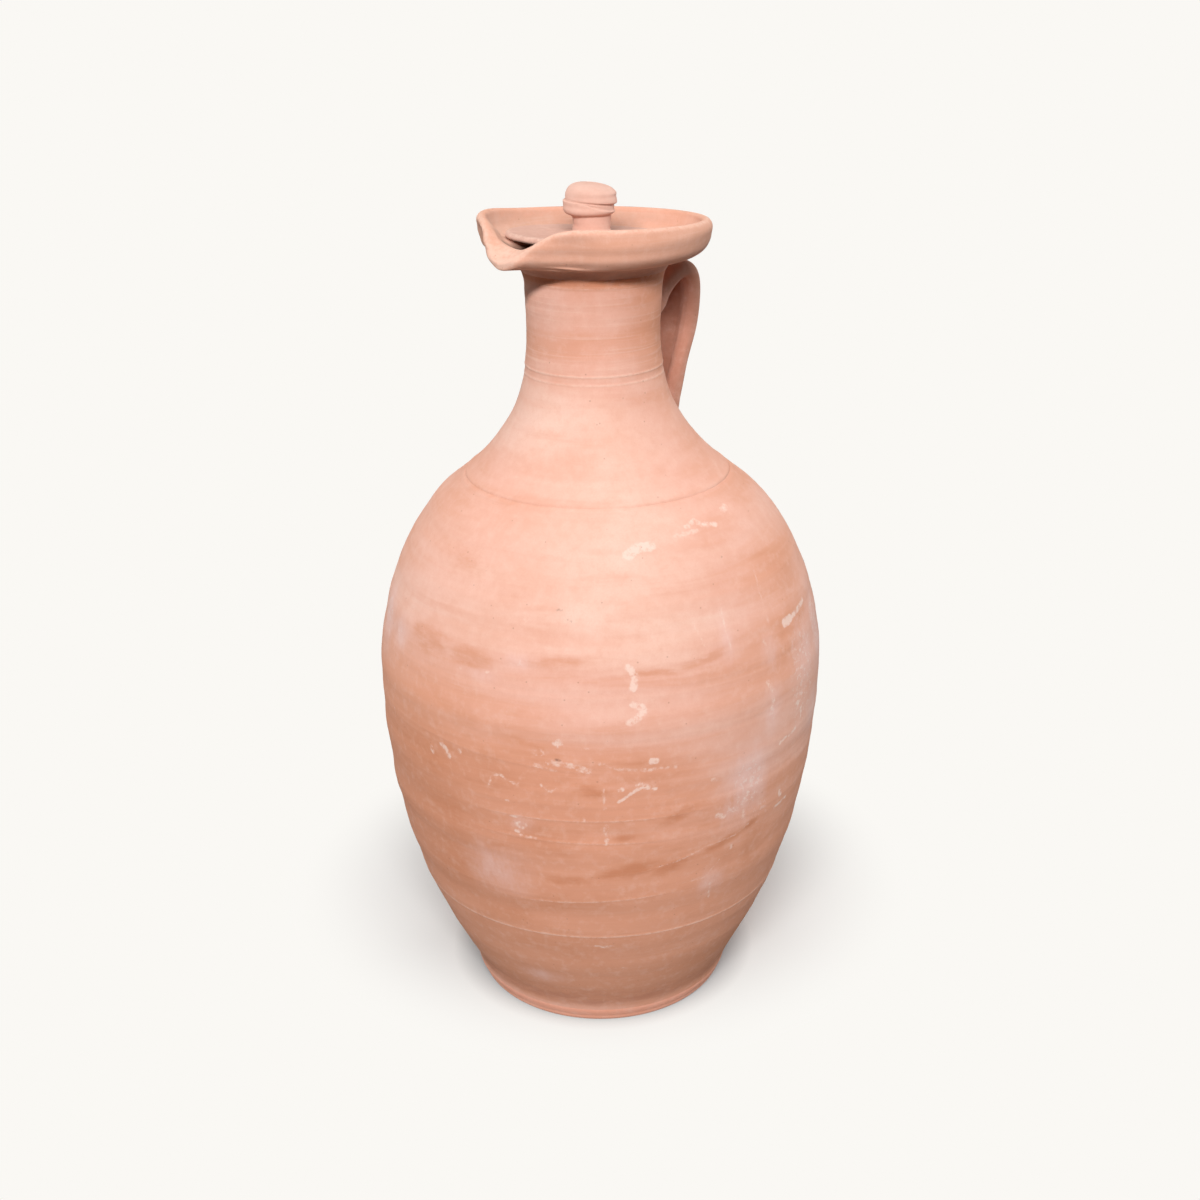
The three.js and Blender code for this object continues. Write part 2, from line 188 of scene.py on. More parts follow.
def rings_of(node):
    """Heights of a solid's rings of corners, with the least and the greatest radius at each."""
    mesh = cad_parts[node].data
    corners = np.empty(len(mesh.vertices) * 3, np.float32)
    mesh.vertices.foreach_get("co", corners)
    corners = corners.reshape(-1, 3) / MM
    radius = np.hypot(corners[:, 0], corners[:, 1])
    level = np.round(corners[:, 2], 1)
    heights = np.unique(level)
    inner = np.array([radius[level == z].min() for z in heights])
    outer = np.array([radius[level == z].max() for z in heights])
    return heights, inner, outer


def smooth(x, y, at):
    """A cubic through the points (x, y): each point keeps the mean slope of the chords beside it."""
    slope = np.gradient(y, x)
    i = np.clip(np.searchsorted(x, at) - 1, 0, len(x) - 2)
    width = x[i + 1] - x[i]
    t = (at - x[i]) / width
    start = (1 + 2 * t) * (1 - t) ** 2 * y[i] + t * (1 - t) ** 2 * width * slope[i]
    end = t**2 * (3 - 2 * t) * y[i + 1] + t**2 * (t - 1) * width * slope[i + 1]
    return start + end


rings = {node: rings_of(node) for node in SECTIONS}
# The solids' groove at the shoulder joint is pressed into their end rings, so those two are left out.
outer_rings = [
    (z, r)
    for node in SECTIONS
    for z, r in zip(rings[node][0], rings[node][2])
    if not (node == "upper_body" and z == rings[node][0][-1])
    and not (node == "shoulder_cone" and z == rings[node][0][0])
]
outline_height, outline_radius = np.array(sorted(outer_rings)).T


def joint_height(below, above):
    """Middle of the slip between two sections."""
    return (box_mm(below)[1][2] + box_mm(above)[0][2]) / 2


ORDER = ["foot", *SECTIONS, "mouth"]
joints = [joint_height(below, above) for below, above in zip(ORDER, ORDER[1:])]
foot_joint, _, shoulder_joint, _, mouth_joint = joints
print("joints at", [round(z, 2) for z in joints])

# %% [markdown]
# ## Marks of the wheel
# A thrown wall is never quite round or smooth. The fingers leave broad shallow rings that climb in a spiral,
# a tool leaves narrow raised lines, and the wet jar leans a little as it is lifted off the wheel. The rings
# are a sum of waves: each has its own spacing and climbs a whole number of spacings in one round, so that it
# closes on itself. Angles are counted from the side that faces the camera, in degrees, positive to the right.

# %% Throwing rings
FRONT = CAMERA_AZIMUTH - math.pi / 2  # direction from the axis to the camera


def from_front(angle):
    """Degrees to the right of the side that faces the camera, from -180 to 180."""
    return (np.degrees(angle - FRONT) + 180) % 360 - 180


def bell(x, middle, half_width):
    """The bell curve: 1 at the middle, and e to the minus square of the distance in half widths."""
    return np.exp(-(((x - middle) / half_width) ** 2))


def full_turn(steps):
    """Angles at equal steps all the way round, as one row."""
    return np.linspace(0, 2 * math.pi, steps, endpoint=False)[None, :]


def ripple(angle, height, spacing, lift, count, seed):
    """A sum of cosine waves up the wall, of mean size lift, each with a spacing between the two given."""
    rng = np.random.default_rng(seed)
    total = 0
    for _ in range(count):
        step = rng.uniform(*spacing)
        climb = rng.integers(-1, 2)
        total = total + np.cos(2 * math.pi * height / step + climb * angle + rng.uniform(0, 2 * math.pi))
    return lift * total / math.sqrt(count / 2)


print("the side that faces the camera is at", round(math.degrees(FRONT) % 360), "degrees")

# %% Lines and groove of the turning tool
# Raised lines: height, climb for each degree, middle and reach in degrees, lift
TOOL_LINES = [
    (70.8, 0.00, 0, 500, 0.26),
    (95.2, 0.10, -3, 24, 0.20),
    (130.8, -0.04, -6, 26, 0.15),
    (143.2, 0.00, -4, 30, 0.17),
    (171.5, -0.13, -20, 36, 0.1),
    (115.5, 0.40, 18, 16, 0.12),
    (56.0, 0.03, 150, 70, 0.20),
    (88.0, -0.05, 170, 60, 0.20),
    (118.0, 0.06, -120, 50, 0.18),
    (152.0, -0.04, 130, 60, 0.18),
    (329.5, 0.00, 0, 500, 0.2),
    (333.4, 0.00, 0, 500, 0.26),
    (374.0, 0.00, 0, 60, 0.15),
]
LINE_HALF_WIDTH = 0.65


def tool_lines(angle, height):
    """Each line is a narrow bell in height, faded out at the ends of its reach round the jar."""
    total = 0
    for level, climb, middle, reach, lift in TOOL_LINES:
        away = (from_front(angle) - middle + 180) % 360 - 180
        shown = np.exp(-((away / reach) ** 4))
        total = total + lift * shown * bell(height, level + climb * away, LINE_HALF_WIDTH)
    return total


GROOVE_DEPTH = 0.8
GROOVE_HALF_WIDTH = 0.6
SECOND_CUT = (2.2, 0.5, -50, 40)  # millimetres lower, share of the depth, middle and spread in degrees


def groove(angle, height):
    """The turned groove at the shoulder, with a shallow second cut below it on the left."""
    lower, part, middle, reach = SECOND_CUT
    second = part * bell(from_front(angle), middle, reach)
    second = second * bell(height, shoulder_joint - lower, GROOVE_HALF_WIDTH)
    return GROOVE_DEPTH * (bell(height, shoulder_joint, GROOVE_HALF_WIDTH) + second)


print(len(TOOL_LINES), "tool lines, and a groove", round(shoulder_joint, 1), "mm up")

# %% The wall's outside and its lean
FLARE = 1.3  # the top of the neck opens towards the bowl
FLARE_HEIGHT = 6.5
OVAL = 0.35  # millimetres out of round in two waves, and in three
THREE_SIDED = 0.22
FINGER_RINGS = ((14, 40), 0.16, 7, 3)  # least and greatest spacing, lift, number of waves, seed
RIB_LINES = ((3, 8), 0.022, 9, 4)


def wall_radius(angle, height):
    """Outer radius of the jar: the outline, out of round by waves, with rings, lines, groove and flare."""
    radius = smooth(outline_height, outline_radius, height)
    share = radius / outline_radius.max()
    oval = OVAL * np.cos(2 * angle + height / 90) + THREE_SIDED * np.cos(3 * angle - height / 60)
    relief = share * (oval + ripple(angle, height, *FINGER_RINGS)) + ripple(angle, height, *RIB_LINES)
    flare = FLARE * np.clip(1 - (mouth_joint - height) / FLARE_HEIGHT, 0, 1) ** 2
    return radius + flare + relief + tool_lines(angle, height) - groove(angle, height)


LEAN_HEIGHTS = np.array([0, 110, 250, 345, 385, 430])
LEAN = np.array([-0.2, 0.0, 1.0, -0.3, 0.2, 0.2])  # millimetres to the camera's right


def place(radius, angle, height):
    """Points in space of a radius and height at an angle, on an axis that leans a little."""
    lean = smooth(LEAN_HEIGHTS, LEAN, height)
    x = radius * np.cos(angle) + lean * across[0]
    y = radius * np.sin(angle) + lean * across[1]
    return np.stack(np.broadcast_arrays(x, y, height), axis=-1)


print("widest", round(float(outline_radius.max()), 1), "mm from the axis")

# %% [markdown]
# ## Marks of use
# White lime has bled out of the porous wall and left flecks, short strokes and drips, and a thin chalky haze.
# Darker smears show where the wet slip was wiped. The marks that the photograph shows are listed one by one
# as short lines of (degrees, millimetres up). The unseen back gets marks of the same kinds from a seeded
# draw.
# Each point of the wall keeps how far a mark of each kind covers it. The edges are left wide and soft, since
# the clay's material breaks them up into flakes.

# %% Lime
# Lime: strength, half width in millimetres, then the points of a stroke
LIME = [
    (1.03, 0.8, (4.1, 153.6), (6.0, 156.3), (8.0, 159.3), (9.7, 160.5), (13.1, 159.3)),
    (0.75, 0.8, (8.3, 161.9), (9.4, 163.2), (11.4, 161.0), (12.8, 161.6)),
    (1.10, 1.7, (12.0, 173.8), (12.8, 173.8)),
    (0.92, 1.1, (4.2, 160.2), (5.0, 160.3)),
    (0.86, 1.5, (-10.9, 184.0), (-9.6, 184.2)),
    (0.75, 0.9, (-10.3, 181.8), (-10.0, 185.6)),
    (0.63, 0.9, (-3.8, 181.9), (-3.2, 181.6)),
    (0.60, 0.9, (-16.0, 179.0), (-14.8, 180.5), (-13.6, 178.0), (-14.8, 175.8), (-16.0, 177.5)),
    (0.71, 0.8, (-28.2, 157.2), (-27.4, 162.0), (-25.2, 164.1), (-23.0, 161.6), (-20.5, 160.0),
     (-20.3, 161.9)),
    (0.69, 0.8, (-14.4, 161.7), (-12.4, 158.4), (-10.7, 160.6)),
    (0.80, 0.9, (-14.5, 161.9), (-14.2, 161.3)),
    (0.75, 1.0, (-23.6, 150.7), (-23.0, 150.4)),
    (0.75, 0.8, (-22.8, 142.6), (-21.2, 142.3)),
    (0.71, 0.9, (-21.6, 138.5), (-20.2, 140.2), (-18.8, 138.0), (-20.2, 135.8), (-21.4, 137.6)),
    (0.86, 1.1, (-21.8, 134.2), (-21.2, 133.8)),
    (0.69, 0.8, (-21.2, 132.6), (-16.4, 131.7)),
    (0.75, 0.8, (-4.3, 145.2), (-4.3, 144.0)),
    (1.05, 2.4, (55.2, 221.1), (57.8, 221.3)),
    (0.88, 1.5, (58.2, 221.4), (62.2, 222.0), (68.3, 223.8)),
    (0.80, 2.0, (6.6, 219.2), (7.6, 217.0), (8.2, 213.6), (7.5, 209.5)),
    (0.80, 1.9, (7.4, 202.2), (9.6, 200.8), (10.1, 198.9), (8.4, 195.8), (6.6, 194.2)),
    (0.71, 1.4, (27.9, 158.2), (28.9, 157.6)),
    (0.76, 1.6, (32.2, 135.4), (30.0, 137.2)),
    (0.90, 1.5, (53.4, 133.6), (54.0, 131.6)),
    (0.85, 1.0, (52.2, 125.7), (57.9, 126.8)),
    (0.85, 1.6, (57.6, 178.9), (58.6, 178.6)),
    (0.80, 1.2, (60.5, 174.4), (60.5, 169.4)),
    (0.85, 1.1, (50.3, 163.2), (53.0, 164.3)),
    (0.85, 1.1, (54.5, 164.0), (57.7, 165.2)),
    (0.71, 1.1, (36.0, 115.8), (36.2, 114.4)),
    (0.67, 0.9, (37.7, 101.6), (37.7, 100.4)),
    (0.71, 0.9, (30.9, 96.2), (31.8, 85.8)),
    (0.72, 1.4, (-46.5, 166.7), (-45.9, 164.2)),
    (0.72, 1.6, (-42.4, 170.8), (-40.8, 169.0), (-40.0, 166.0)),
    (0.63, 0.8, (-64.8, 173.5), (-64.8, 169.0)),
    (0.67, 0.9, (-37.0, 211.8), (-36.4, 211.8)),
    (0.67, 0.9, (-29.0, 212.9), (-28.4, 212.9)),
    (0.67, 0.8, (-2.5, 64.4), (4.0, 63.8)),
    (0.63, 0.8, (-0.5, 62.6), (3.0, 62.0)),
    (0.67, 0.8, (6.2, 45.9), (6.9, 45.7)),
    (0.80, 2.7, (8.6, 263.7), (11.8, 266.6), (16.7, 266.6)),
    (0.75, 1.6, (31.5, 271.2), (35.8, 272.7), (37.8, 270.8), (43.4, 269.4)),
    (0.65, 1.5, (26.3, 268.9), (35.0, 269.1)),
    (0.60, 2.2, (51.4, 273.0), (53.6, 273.6)),
    (0.60, 0.8, (33.6, 237.8), (33.4, 229.6), (34.1, 219.7)),
    (0.57, 0.8, (49.7, 250.7), (48.3, 240.1), (48.2, 230.9), (48.3, 223.8)),
    (0.63, 0.9, (45.1, 218.4), (46.0, 215.6)),
    (0.53, 0.9, (24.4, 234.8), (26.5, 223.7)),
    (0.60, 1.7, (44.9, 199.0), (46.6, 193.0), (46.2, 185.0)),
    (0.60, 0.9, (80.2, 223.7), (73.0, 215.6)),
    (0.60, 1.3, (39.9, 152.0), (38.9, 141.8), (38.7, 129.7)),
    (0.55, 1.2, (0.4, 160.5), (0.8, 150.4)),
    (0.53, 1.7, (1.1, 140.7), (1.2, 131.1)),
    (0.55, 2.0, (-12.5, 174.2), (-7.2, 172.8), (-3.0, 170.4)),
    (0.51, 1.5, (-16.0, 172.0), (-11.0, 169.6)),
    (0.51, 1.3, (-1.0, 174.6), (4.0, 171.0), (10.0, 169.6), (18.0, 169.4)),
    (0.48, 1.8, (-19.6, 238.1), (-19.0, 238.1)),
    (0.55, 0.8, (15.1, 114.4), (20.9, 116.1), (27.6, 120.6), (37.0, 121.6), (41.4, 125.3)),
    (0.53, 0.8, (20.9, 102.1), (28.6, 101.1), (33.1, 109.7)),
    (0.55, 1.8, (-37.2, 170.9), (-36.4, 170.4)),
]
print(len(LIME), "strokes of lime")

# %% Smears, haze and pits
# Slip that was wiped thin and shows a deeper orange: strength, middle in degrees and millimetres up,
# half length round the jar, half height, and climb to the right
SMEAR = [
    (1.3, -34, 217.8, 14, 5.0, 0.0),
    (1.2, -49, 220.0, 15, 8.0, 0.0),
    (0.7, -42, 254.0, 24, 9.0, 0.0),
    (0.95, -12, 221.0, 26, 3.4, 0.05),
    (1.0, 14, 215.8, 17, 2.4, -0.08),
    (1.2, 25, 217.8, 16, 3.0, 0.15),
    (1.05, -2.5, 159.4, 11, 4.4, -0.1),
    (0.6, 2, 160.0, 4, 2.0, -0.1),
    (0.6, 17.5, 165.0, 4, 2.0, 0.2),
    (1.0, 19.5, 142.6, 14, 4.2, 0.3),
    (0.9, 5.8, 133.3, 7, 3.4, 0.1),
    (0.6, 13.8, 137.7, 3, 2.0, 0.4),
    (1.25, 6.5, 113.4, 20, 5.4, 0.16),
    (1.1, 18.5, 113.0, 13, 4.8, 0.3),
    (1.1, 33, 119.8, 15, 3.6, 0.22),
    (1.0, 42, 124.2, 8, 3.6, 0.3),
    (0.5, -20.5, 196.8, 10, 3.8, 0.0),
    (0.5, -43.5, 197.2, 9, 4.6, 0.0),
    (0.5, -61, 202.0, 6, 7.0, 0.0),
    (0.6, -16, 181.0, 22, 3.0, -0.35),
    (0.6, 5, 174.0, 22, 2.4, -0.1),
    (0.6, -41, 172.0, 15, 4.4, -0.4),
    (0.6, 47, 188.0, 22, 3.6, 0.15),
    (0.85, -9, 108.0, 18, 4.2, 0.0),
    (0.6, 50, 107.5, 11, 3.6, 0.4),
    (0.62, -48, 165.0, 24, 18.0, -0.1),
    (0.62, -45, 135.0, 26, 18.0, 0.0),
    (0.62, -40, 105.0, 22, 16.0, 0.1),
    (0.6, -28, 122.0, 18, 9.0, 0.0),
]
# Haze of lime and places where lime has come out in fine flecks, in the same form
HAZE = [
    (1.4, 39.5, 150, 16, 22, 0),
    (1.1, 35, 138, 10, 10, 0),
    (1.0, 46, 183, 9, 18, 0),
    (0.8, 47, 212, 9, 12, 0),
    (1.2, 64, 204, 17, 18, 0),
    (1.4, 76, 205, 16, 26, 0),
    (1.0, 70, 165, 10, 18, 0),
    (1.4, -76, 214, 14, 16, 0),
    (1.1, -64, 214, 12, 10, 0),
    (1.1, -20, 220, 12, 4, 0),
    (0.9, -30, 211, 14, 4, 0),
    (0.9, -29, 109, 22, 19, 0),
    (0.7, -24, 99, 11, 8, 0),
    (0.85, -23, 35, 14, 7, 0),
    (0.8, 33, 224, 5, 17, 0),
    (0.9, 31, 98, 10, 10, 0),
    (0.8, -20, 139, 8, 7, 0),
]
FLECKS = [
    (0.75, 62, 190, 26, 50, 0),
    (0.75, 82, 190, 30, 60, 0),
    (0.6, 44, 130, 22, 22, 0),
    (0.6, -76, 200, 18, 30, 0),
    (0.5, -30, 150, 26, 26, 0),
    (0.5, 150, 170, 40, 50, 0),
    (0.5, -140, 150, 40, 50, 0),
]
# Pits and dark specks, in the form of the lime
PITS = [
    (0.48, 1.8, (-11.6, 243.6), (-9.8, 243.8)),
    (0.70, 1.0, (-8.8, 239.2), (-7.6, 239.0)),
    (0.65, 0.7, (-1.2, 240.5), (-0.8, 240.5)),
    (0.60, 0.5, (-48.6, 240.5), (-48.2, 240.5)),
    (0.60, 0.5, (-30.7, 238.7), (-30.3, 238.7)),
    (1.00, 0.7, (-10.8, 175.6), (-9.8, 175.4)),
    (0.80, 0.6, (39.0, 257.6), (39.3, 257.4)),
]
print(len(SMEAR), "smears,", len(HAZE), "hazes,", len(FLECKS), "flecked places,", len(PITS), "pits")

# %% Marks on the back
BACK_STROKES = 40
BACK_PATCHES = 26

rng = np.random.default_rng(11)
for _ in range(BACK_STROKES):
    turn, level = rng.uniform((88, 40), (272, 250))
    end = (turn + rng.uniform(-4, 4), level + rng.uniform(-4, 4))
    LIME.append((rng.uniform(0.45, 0.75), rng.uniform(0.6, 1.6), (turn, level), end))
for k in range(BACK_PATCHES):
    turn, level = rng.uniform((92, 60), (268, 235))
    if k % 3:
        strength = rng.uniform(0.5, 0.9)
        SMEAR.append((strength, turn, level, rng.uniform(6, 22), rng.uniform(2, 5), rng.uniform(-0.2, 0.2)))
    else:
        HAZE.append((rng.uniform(0.7, 1.1), turn, level, rng.uniform(6, 16), rng.uniform(8, 18), 0))

print("with the back:", len(LIME), "strokes of lime,", len(HAZE), "hazes,", len(SMEAR), "smears")

# %% How far a mark covers a point
level_table = np.linspace(outline_height[0], outline_height[-1], 12000)
outline_table = smooth(outline_height, outline_radius, level_table)
run_table = np.concatenate([[0], np.cumsum(np.hypot(np.diff(outline_table), np.diff(level_table)))])


def between(x, low, high):
    """Rises smoothly from 0 at low to 1 at high."""
    t = np.clip((x - low) / (high - low), 0, 1)
    return t * t * (3 - 2 * t)


def band(x, low, full, fading, end):
    """Rises smoothly from low to full, and falls back from fading to end."""
    return between(x, low, full) * (1 - between(x, fading, end))


def on_wall(degrees, level, middle):
    """Millimetres round the jar from a middle direction, and millimetres along the wall from its foot."""
    radius = np.interp(level, level_table, outline_table)
    away = (degrees - middle + 180) % 360 - 180
    return np.radians(away) * radius, np.interp(level, level_table, run_table)


MARK_EDGE = 1.2  # half of the width, in millimetres, over which a mark fades at its edge


def strokes_over(marks, degrees, level):
    """Greatest cover by any stroke: its strength, faded by the distance to the line of its points."""
    total = np.zeros(np.broadcast_shapes(degrees.shape, level.shape))
    for strength, half_width, *points in marks:
        middle = points[0][0]
        u, v = on_wall(degrees, level, middle)
        ends = [on_wall(np.float64(a), np.float64(z), middle) for a, z in points]
        for (ua, va), (ub, vb) in zip(ends, ends[1:]):
            length = (ub - ua) ** 2 + (vb - va) ** 2
            t = np.clip(((u - ua) * (ub - ua) + (v - va) * (vb - va)) / length, 0, 1)
            gap = np.hypot(u - ua - t * (ub - ua), v - va - t * (vb - va)) - half_width
            total = np.maximum(total, strength * (1 - between(gap, -MARK_EDGE, MARK_EDGE)))
    return total


def patches_over(patches, degrees, level):
    """Greatest cover by any soft oval patch: its strength times a bell each way, tilted by its climb."""
    total = np.zeros(np.broadcast_shapes(degrees.shape, level.shape))
    for strength, middle, height, half_length, half_height, climb in patches:
        u, v = on_wall(degrees, level, middle)
        v = v - np.interp(height, level_table, run_table) - climb * u
        total = np.maximum(total, strength * bell(u, 0, half_length) * bell(v, 0, half_height))
    return total


print("the wall is", round(run_table[-1]), "mm long from the foot to the bowl")

# %% [markdown]
# ## The walls
# The four thrown sections are rings of wall. A point's place on such a ring is its direction and its height,
# so one function of these two gives the outside, and the rings of the solid give the inside. A spun profile
# would be perfectly round, so the whole grid is worked out instead. The points lie closer together in front,
# where the marks are, and near the tool's lines.

# %% Throw the walls
WALL_STEPS = 416  # points round the jar
INSIDE_ROWS = 16
THINNEST_WALL = 2


def spread(start, end, count, density):
    """Places from start to end at equal shares of the running sum of a density."""
    fine = np.linspace(start, end, 4001)
    total = np.concatenate([[0], np.cumsum(density((fine[1:] + fine[:-1]) / 2))])
    return np.interp(np.linspace(0, total[-1], count), total, fine)


def closer_in_front(degrees):
    """Three times as many points on the front half as on the back."""
    return 1 + 2 * (1 - between(abs(degrees), 80, 100))


def closer_on_lines(height):
    """More rows by the tool's lines and the marks, and on slopes, where a height is a longer way."""
    lines = sum(bell(height, line[0], 3) for line in TOOL_LINES)
    slope = np.interp(height, level_table[1:], np.diff(run_table) / np.diff(level_table))
    return (0.6 + lines + 0.5 * between(height, 95, 120)) * slope


degrees = spread(-180, 180, WALL_STEPS + 1, closer_in_front)[None, :-1]
angles = FRONT + np.radians(degrees)


def hollow_of(node):
    """Heights and radii of the rings that a section has on its inside as well as its outside."""
    heights, inner, outer = rings[node]
    both = outer - inner > THINNEST_WALL
    return heights[both], inner[both]


def wall(node, bottom, top, rows):
    """A ring of wall: up the outside from bottom to top, and down the inside. Also each row's height."""
    heights, inner = hollow_of(node)
    up = spread(bottom, top, rows, closer_on_lines)[:, None]
    back = np.linspace(top, bottom, INSIDE_ROWS)[:, None]
    inside = smooth(heights, inner, back) + ripple(angles, back, (35, 60), 0.25, 4, 5)
    radius = np.concatenate([wall_radius(angles, up), inside])
    level = np.concatenate([up, back])
    return place(radius, angles, level), level


# Name of the skin, the solid that it stands for, rows up the outside, slot
WALLS = [
    ("lower_wall", "lower_body", 220, "terracotta_red"),
    ("upper_wall", "upper_body", 190, "terracotta_pale"),
    ("cone_wall", "shoulder_cone", 120, "terracotta_pale"),
    ("neck_wall", "neck", 110, "terracotta_pale"),
]
walls = []
for (name, node, rows, slot), bottom, top in zip(WALLS, joints, joints[1:]):
    grid, level = wall(node, bottom, top, rows)
    walls.append((skin(name, grid, "jar", node), level))

# %% [markdown]
# ## Where the colour lies
# Below the widest part the clay is a deeper orange. The border is ragged. Close to the foot, and at the top
# of the neck under the bowl, the colour is painted darker as painted shade. This and the marks are kept as
# numbers on the points of the walls. The border could be cut by the material alone, but its wander follows
# the jar.

# %% Paint the walls
# Tone of the clay at a height: 0 is palest, 0.5 pink, 1 deep orange, 1.5 brown
TONES = {0: 0.75, 10: 0.75, 20: 0.98, 100: 1.06, 166: 0.96, 178: 0.86, 187: 0.62, 200: 0.5, 214: 0.5}
TONES |= {226: 0.2, 240: 0.06, 265: 0.1, 276: 0.15, 285: 0.18, 300: 0.14, 325: 0.16, 333: 0.5, 345: 0.6}
SIDE_TONE = 0.46  # the sides came out of the fire deeper than the front
LEFT_TONE = 0.34  # so did the lower left
RIGHT_TONE = 0.4  # and the right at the widest part
PALE_LEFT = 0.4  # while the left of the cone stayed pale
# Painted shade: the top of the neck under the bowl is painted a deeper colour
UNDER_BOWL_PAINTED_SHADE = 1.1
BORDER_DROP = 34  # the border lies lower on the right, by this many millimetres


def wander(angle, seed, size):
    """A wavy line round the jar: five cosines of whole numbers of waves, weaker as they get shorter."""
    rng = np.random.default_rng(seed)
    waves = np.arange(2, 16, 3)
    phases = rng.uniform(0, 2 * math.pi, len(waves))
    return size * sum(np.cos(n * angle + p) / math.sqrt(n) for n, p in zip(waves, phases))


def over_foot(level):
    """Painted shade in a band above the foot, which fades in within a few millimetres and out over many."""
    above = level - foot_joint
    return band(above, -1, 6, 6, 26)


def tone_at(level):
    """Depth of the colour: the tones up the jar on a border that wanders and drops, more on the sides, and as
    painted shade under the bowl.
    """
    right_side = band(degrees, 8, 44, 100, 165)
    drop = BORDER_DROP * right_side * (1 - between(level, 180, 215))
    tone = np.interp(level + drop + wander(angles, 21, 3), list(TONES), list(TONES.values()))
    higher = 0.5 * between(level, 170, 200) + 0.7 * between(level, 225, 250)
    tone = tone + SIDE_TONE * (1 - bell(degrees, 4, 42)) * higher
    tone = tone + LEFT_TONE * bell(degrees, -52, 32) * (1 - between(abs(level - 140), 45, 75))
    tone = tone + RIGHT_TONE * bell(degrees, 60, 24) * (1 - between(abs(level - 231), 16, 38))
    tone = tone + UNDER_BOWL_PAINTED_SHADE * between(level, mouth_joint - FLARE_HEIGHT, mouth_joint)
    left_side = band(-degrees, 8, 40, 90, 160)
    return tone - PALE_LEFT * left_side * between(level, 278, 305)


def paint_marks(piece, level):
    """Puts the tone, and the cover by each kind of mark, on a wall whose rows have these heights."""
    smear = patches_over(SMEAR, degrees, level)
    haze = patches_over(HAZE, degrees, level)
    # Painted shade: the lowest part of the wall is painted darker towards the foot, where it faces down
    foot_shade = 1 - between(level + wander(angles, 22, 2), 12, 75)
    covers = {
        "tone": tone_at(level),
        "foot_shade": foot_shade * between(level, foot_joint, foot_joint + 7),
        "lime": strokes_over(LIME, degrees, level),
        "pit": strokes_over(PITS, degrees, level),
        "smear": smear,
        "wet": smear * (1 - between(level, 155, 180)),
        "haze": haze,
        "fleck": np.maximum(0.6 * haze, patches_over(FLECKS, degrees, level)),
        "worn": tool_lines(angles, level) / 0.2,
        # Painted shade in the shoulder groove and in the band above the foot
        "painted_shade": 0.4 * groove(angles, level) / GROOVE_DEPTH + over_foot(level),
    }
    for kind, cover in covers.items():
        paint(piece, kind, np.broadcast_to(cover, (len(level), WALL_STEPS)))


for piece, level in walls:
    paint_marks(piece, level)
print("painted", ", ".join(piece.name for piece, _ in walls))

# %% [markdown]
# ## The foot
# The foot is a turned disc that closes the jar below. Its edge is rounded where it stands, and goes over into
# the wall in a soft curve. Its underside was cut off the wheel with a twisted wire, which leaves shallow
# curved lines, so the flat face is not quite smooth.

# %% Turn the foot
FOOT_STEPS = 320
FOOT_ROUND = 4.0
FOOT_SPREAD = 2.1  # how far the edge widens from the rounding up to the wall
UNDER_RINGS = 45
FLOOR_RINGS = 13
WIRE_LINE_SPACING = 4.5
WIRE_LINE_DEPTH = 0.25
WIRE_LINE_BEND = 400

foot_angle = full_turn(FOOT_STEPS)
foot_edge = wall_radius(foot_angle, foot_joint) - FOOT_SPREAD


def foot_profile():
    """Millimetres in from the edge, and height: up a quarter circle, then out to the wall by a sine."""
    turn = np.radians(np.linspace(-90, 0, 12))
    share = np.linspace(0, 1, 14)[1:]
    inwards = np.concatenate([FOOT_ROUND * (1 - np.cos(turn)), -FOOT_SPREAD * np.sin(share * math.pi / 2)])
    height = np.concatenate([FOOT_ROUND * (1 + np.sin(turn)), FOOT_ROUND + (foot_joint - FOOT_ROUND) * share])
    return inwards[:, None], height[:, None]


edge_inwards, edge_height = foot_profile()
foot_side = foot_edge - edge_inwards + ripple(foot_angle, edge_height, (6, 14), 0.04, 4, 8)
under = np.linspace(0, 1, UNDER_RINGS, endpoint=False)[:, None] * foot_side[:1]
jar_floor = np.linspace(1, 0, FLOOR_RINGS + 1)[1:, None] * foot_side[-1:]
foot_r = np.concatenate([under, foot_side, jar_floor])
foot_z = np.concatenate([np.zeros((UNDER_RINGS, 1)), edge_height, np.full((FLOOR_RINGS, 1), foot_joint)])
bent = foot_r * np.sin(foot_angle) + foot_r**2 / WIRE_LINE_BEND
wire = (1 + np.sin(2 * math.pi * bent / WIRE_LINE_SPACING)) / 2
on_underside = (foot_z == 0) * (foot_r > 0) * between(foot_side[:1] - foot_r, 0, 4)
foot_grid = place(foot_r, foot_angle, foot_z + WIRE_LINE_DEPTH * wire * on_underside)
foot = skin("foot_disc", foot_grid, "jar", "foot", poles=True)
# Painted shade on the top of the foot, where it meets the wall
paint(foot, "painted_shade", np.broadcast_to(over_foot(foot_z), foot_r.shape), poles=True)

# %% [markdown]
# ## The mouth
# The mouth is a shallow bowl with a ledge inside for the lid. While the clay was soft, a thumb pressed its
# rim down and out into a lip for pouring, and pinched the rim in on both sides of it. So there are two
# sections, the plain bowl's and the lip's, drawn with the same strokes. Every direction gets a mixture.

# %% Draw the two sections of the mouth
MOUTH_STEPS = 480
SEAT_HEIGHT = 12.6  # ledge for the lid above the neck's top
BORE_RADIUS = 27.2
SEAT_INNER = 30.7
SEAT_OUTER = 42.2
RIM_RADIUS = 55.4
NECK_RADIUS = 33.2 + FLARE
BOWL_UNDERSIDE = 5.6
FLANK_HEIGHT = 6.8
BOWL_FILLET = 8.5
BORE_ROUND = 3.5
TIP_RADIUS = 60.0
TIP_HEIGHT = 7.2
CREST_HEIGHT = 12.0
CHANNEL_DEPTH = 6.6


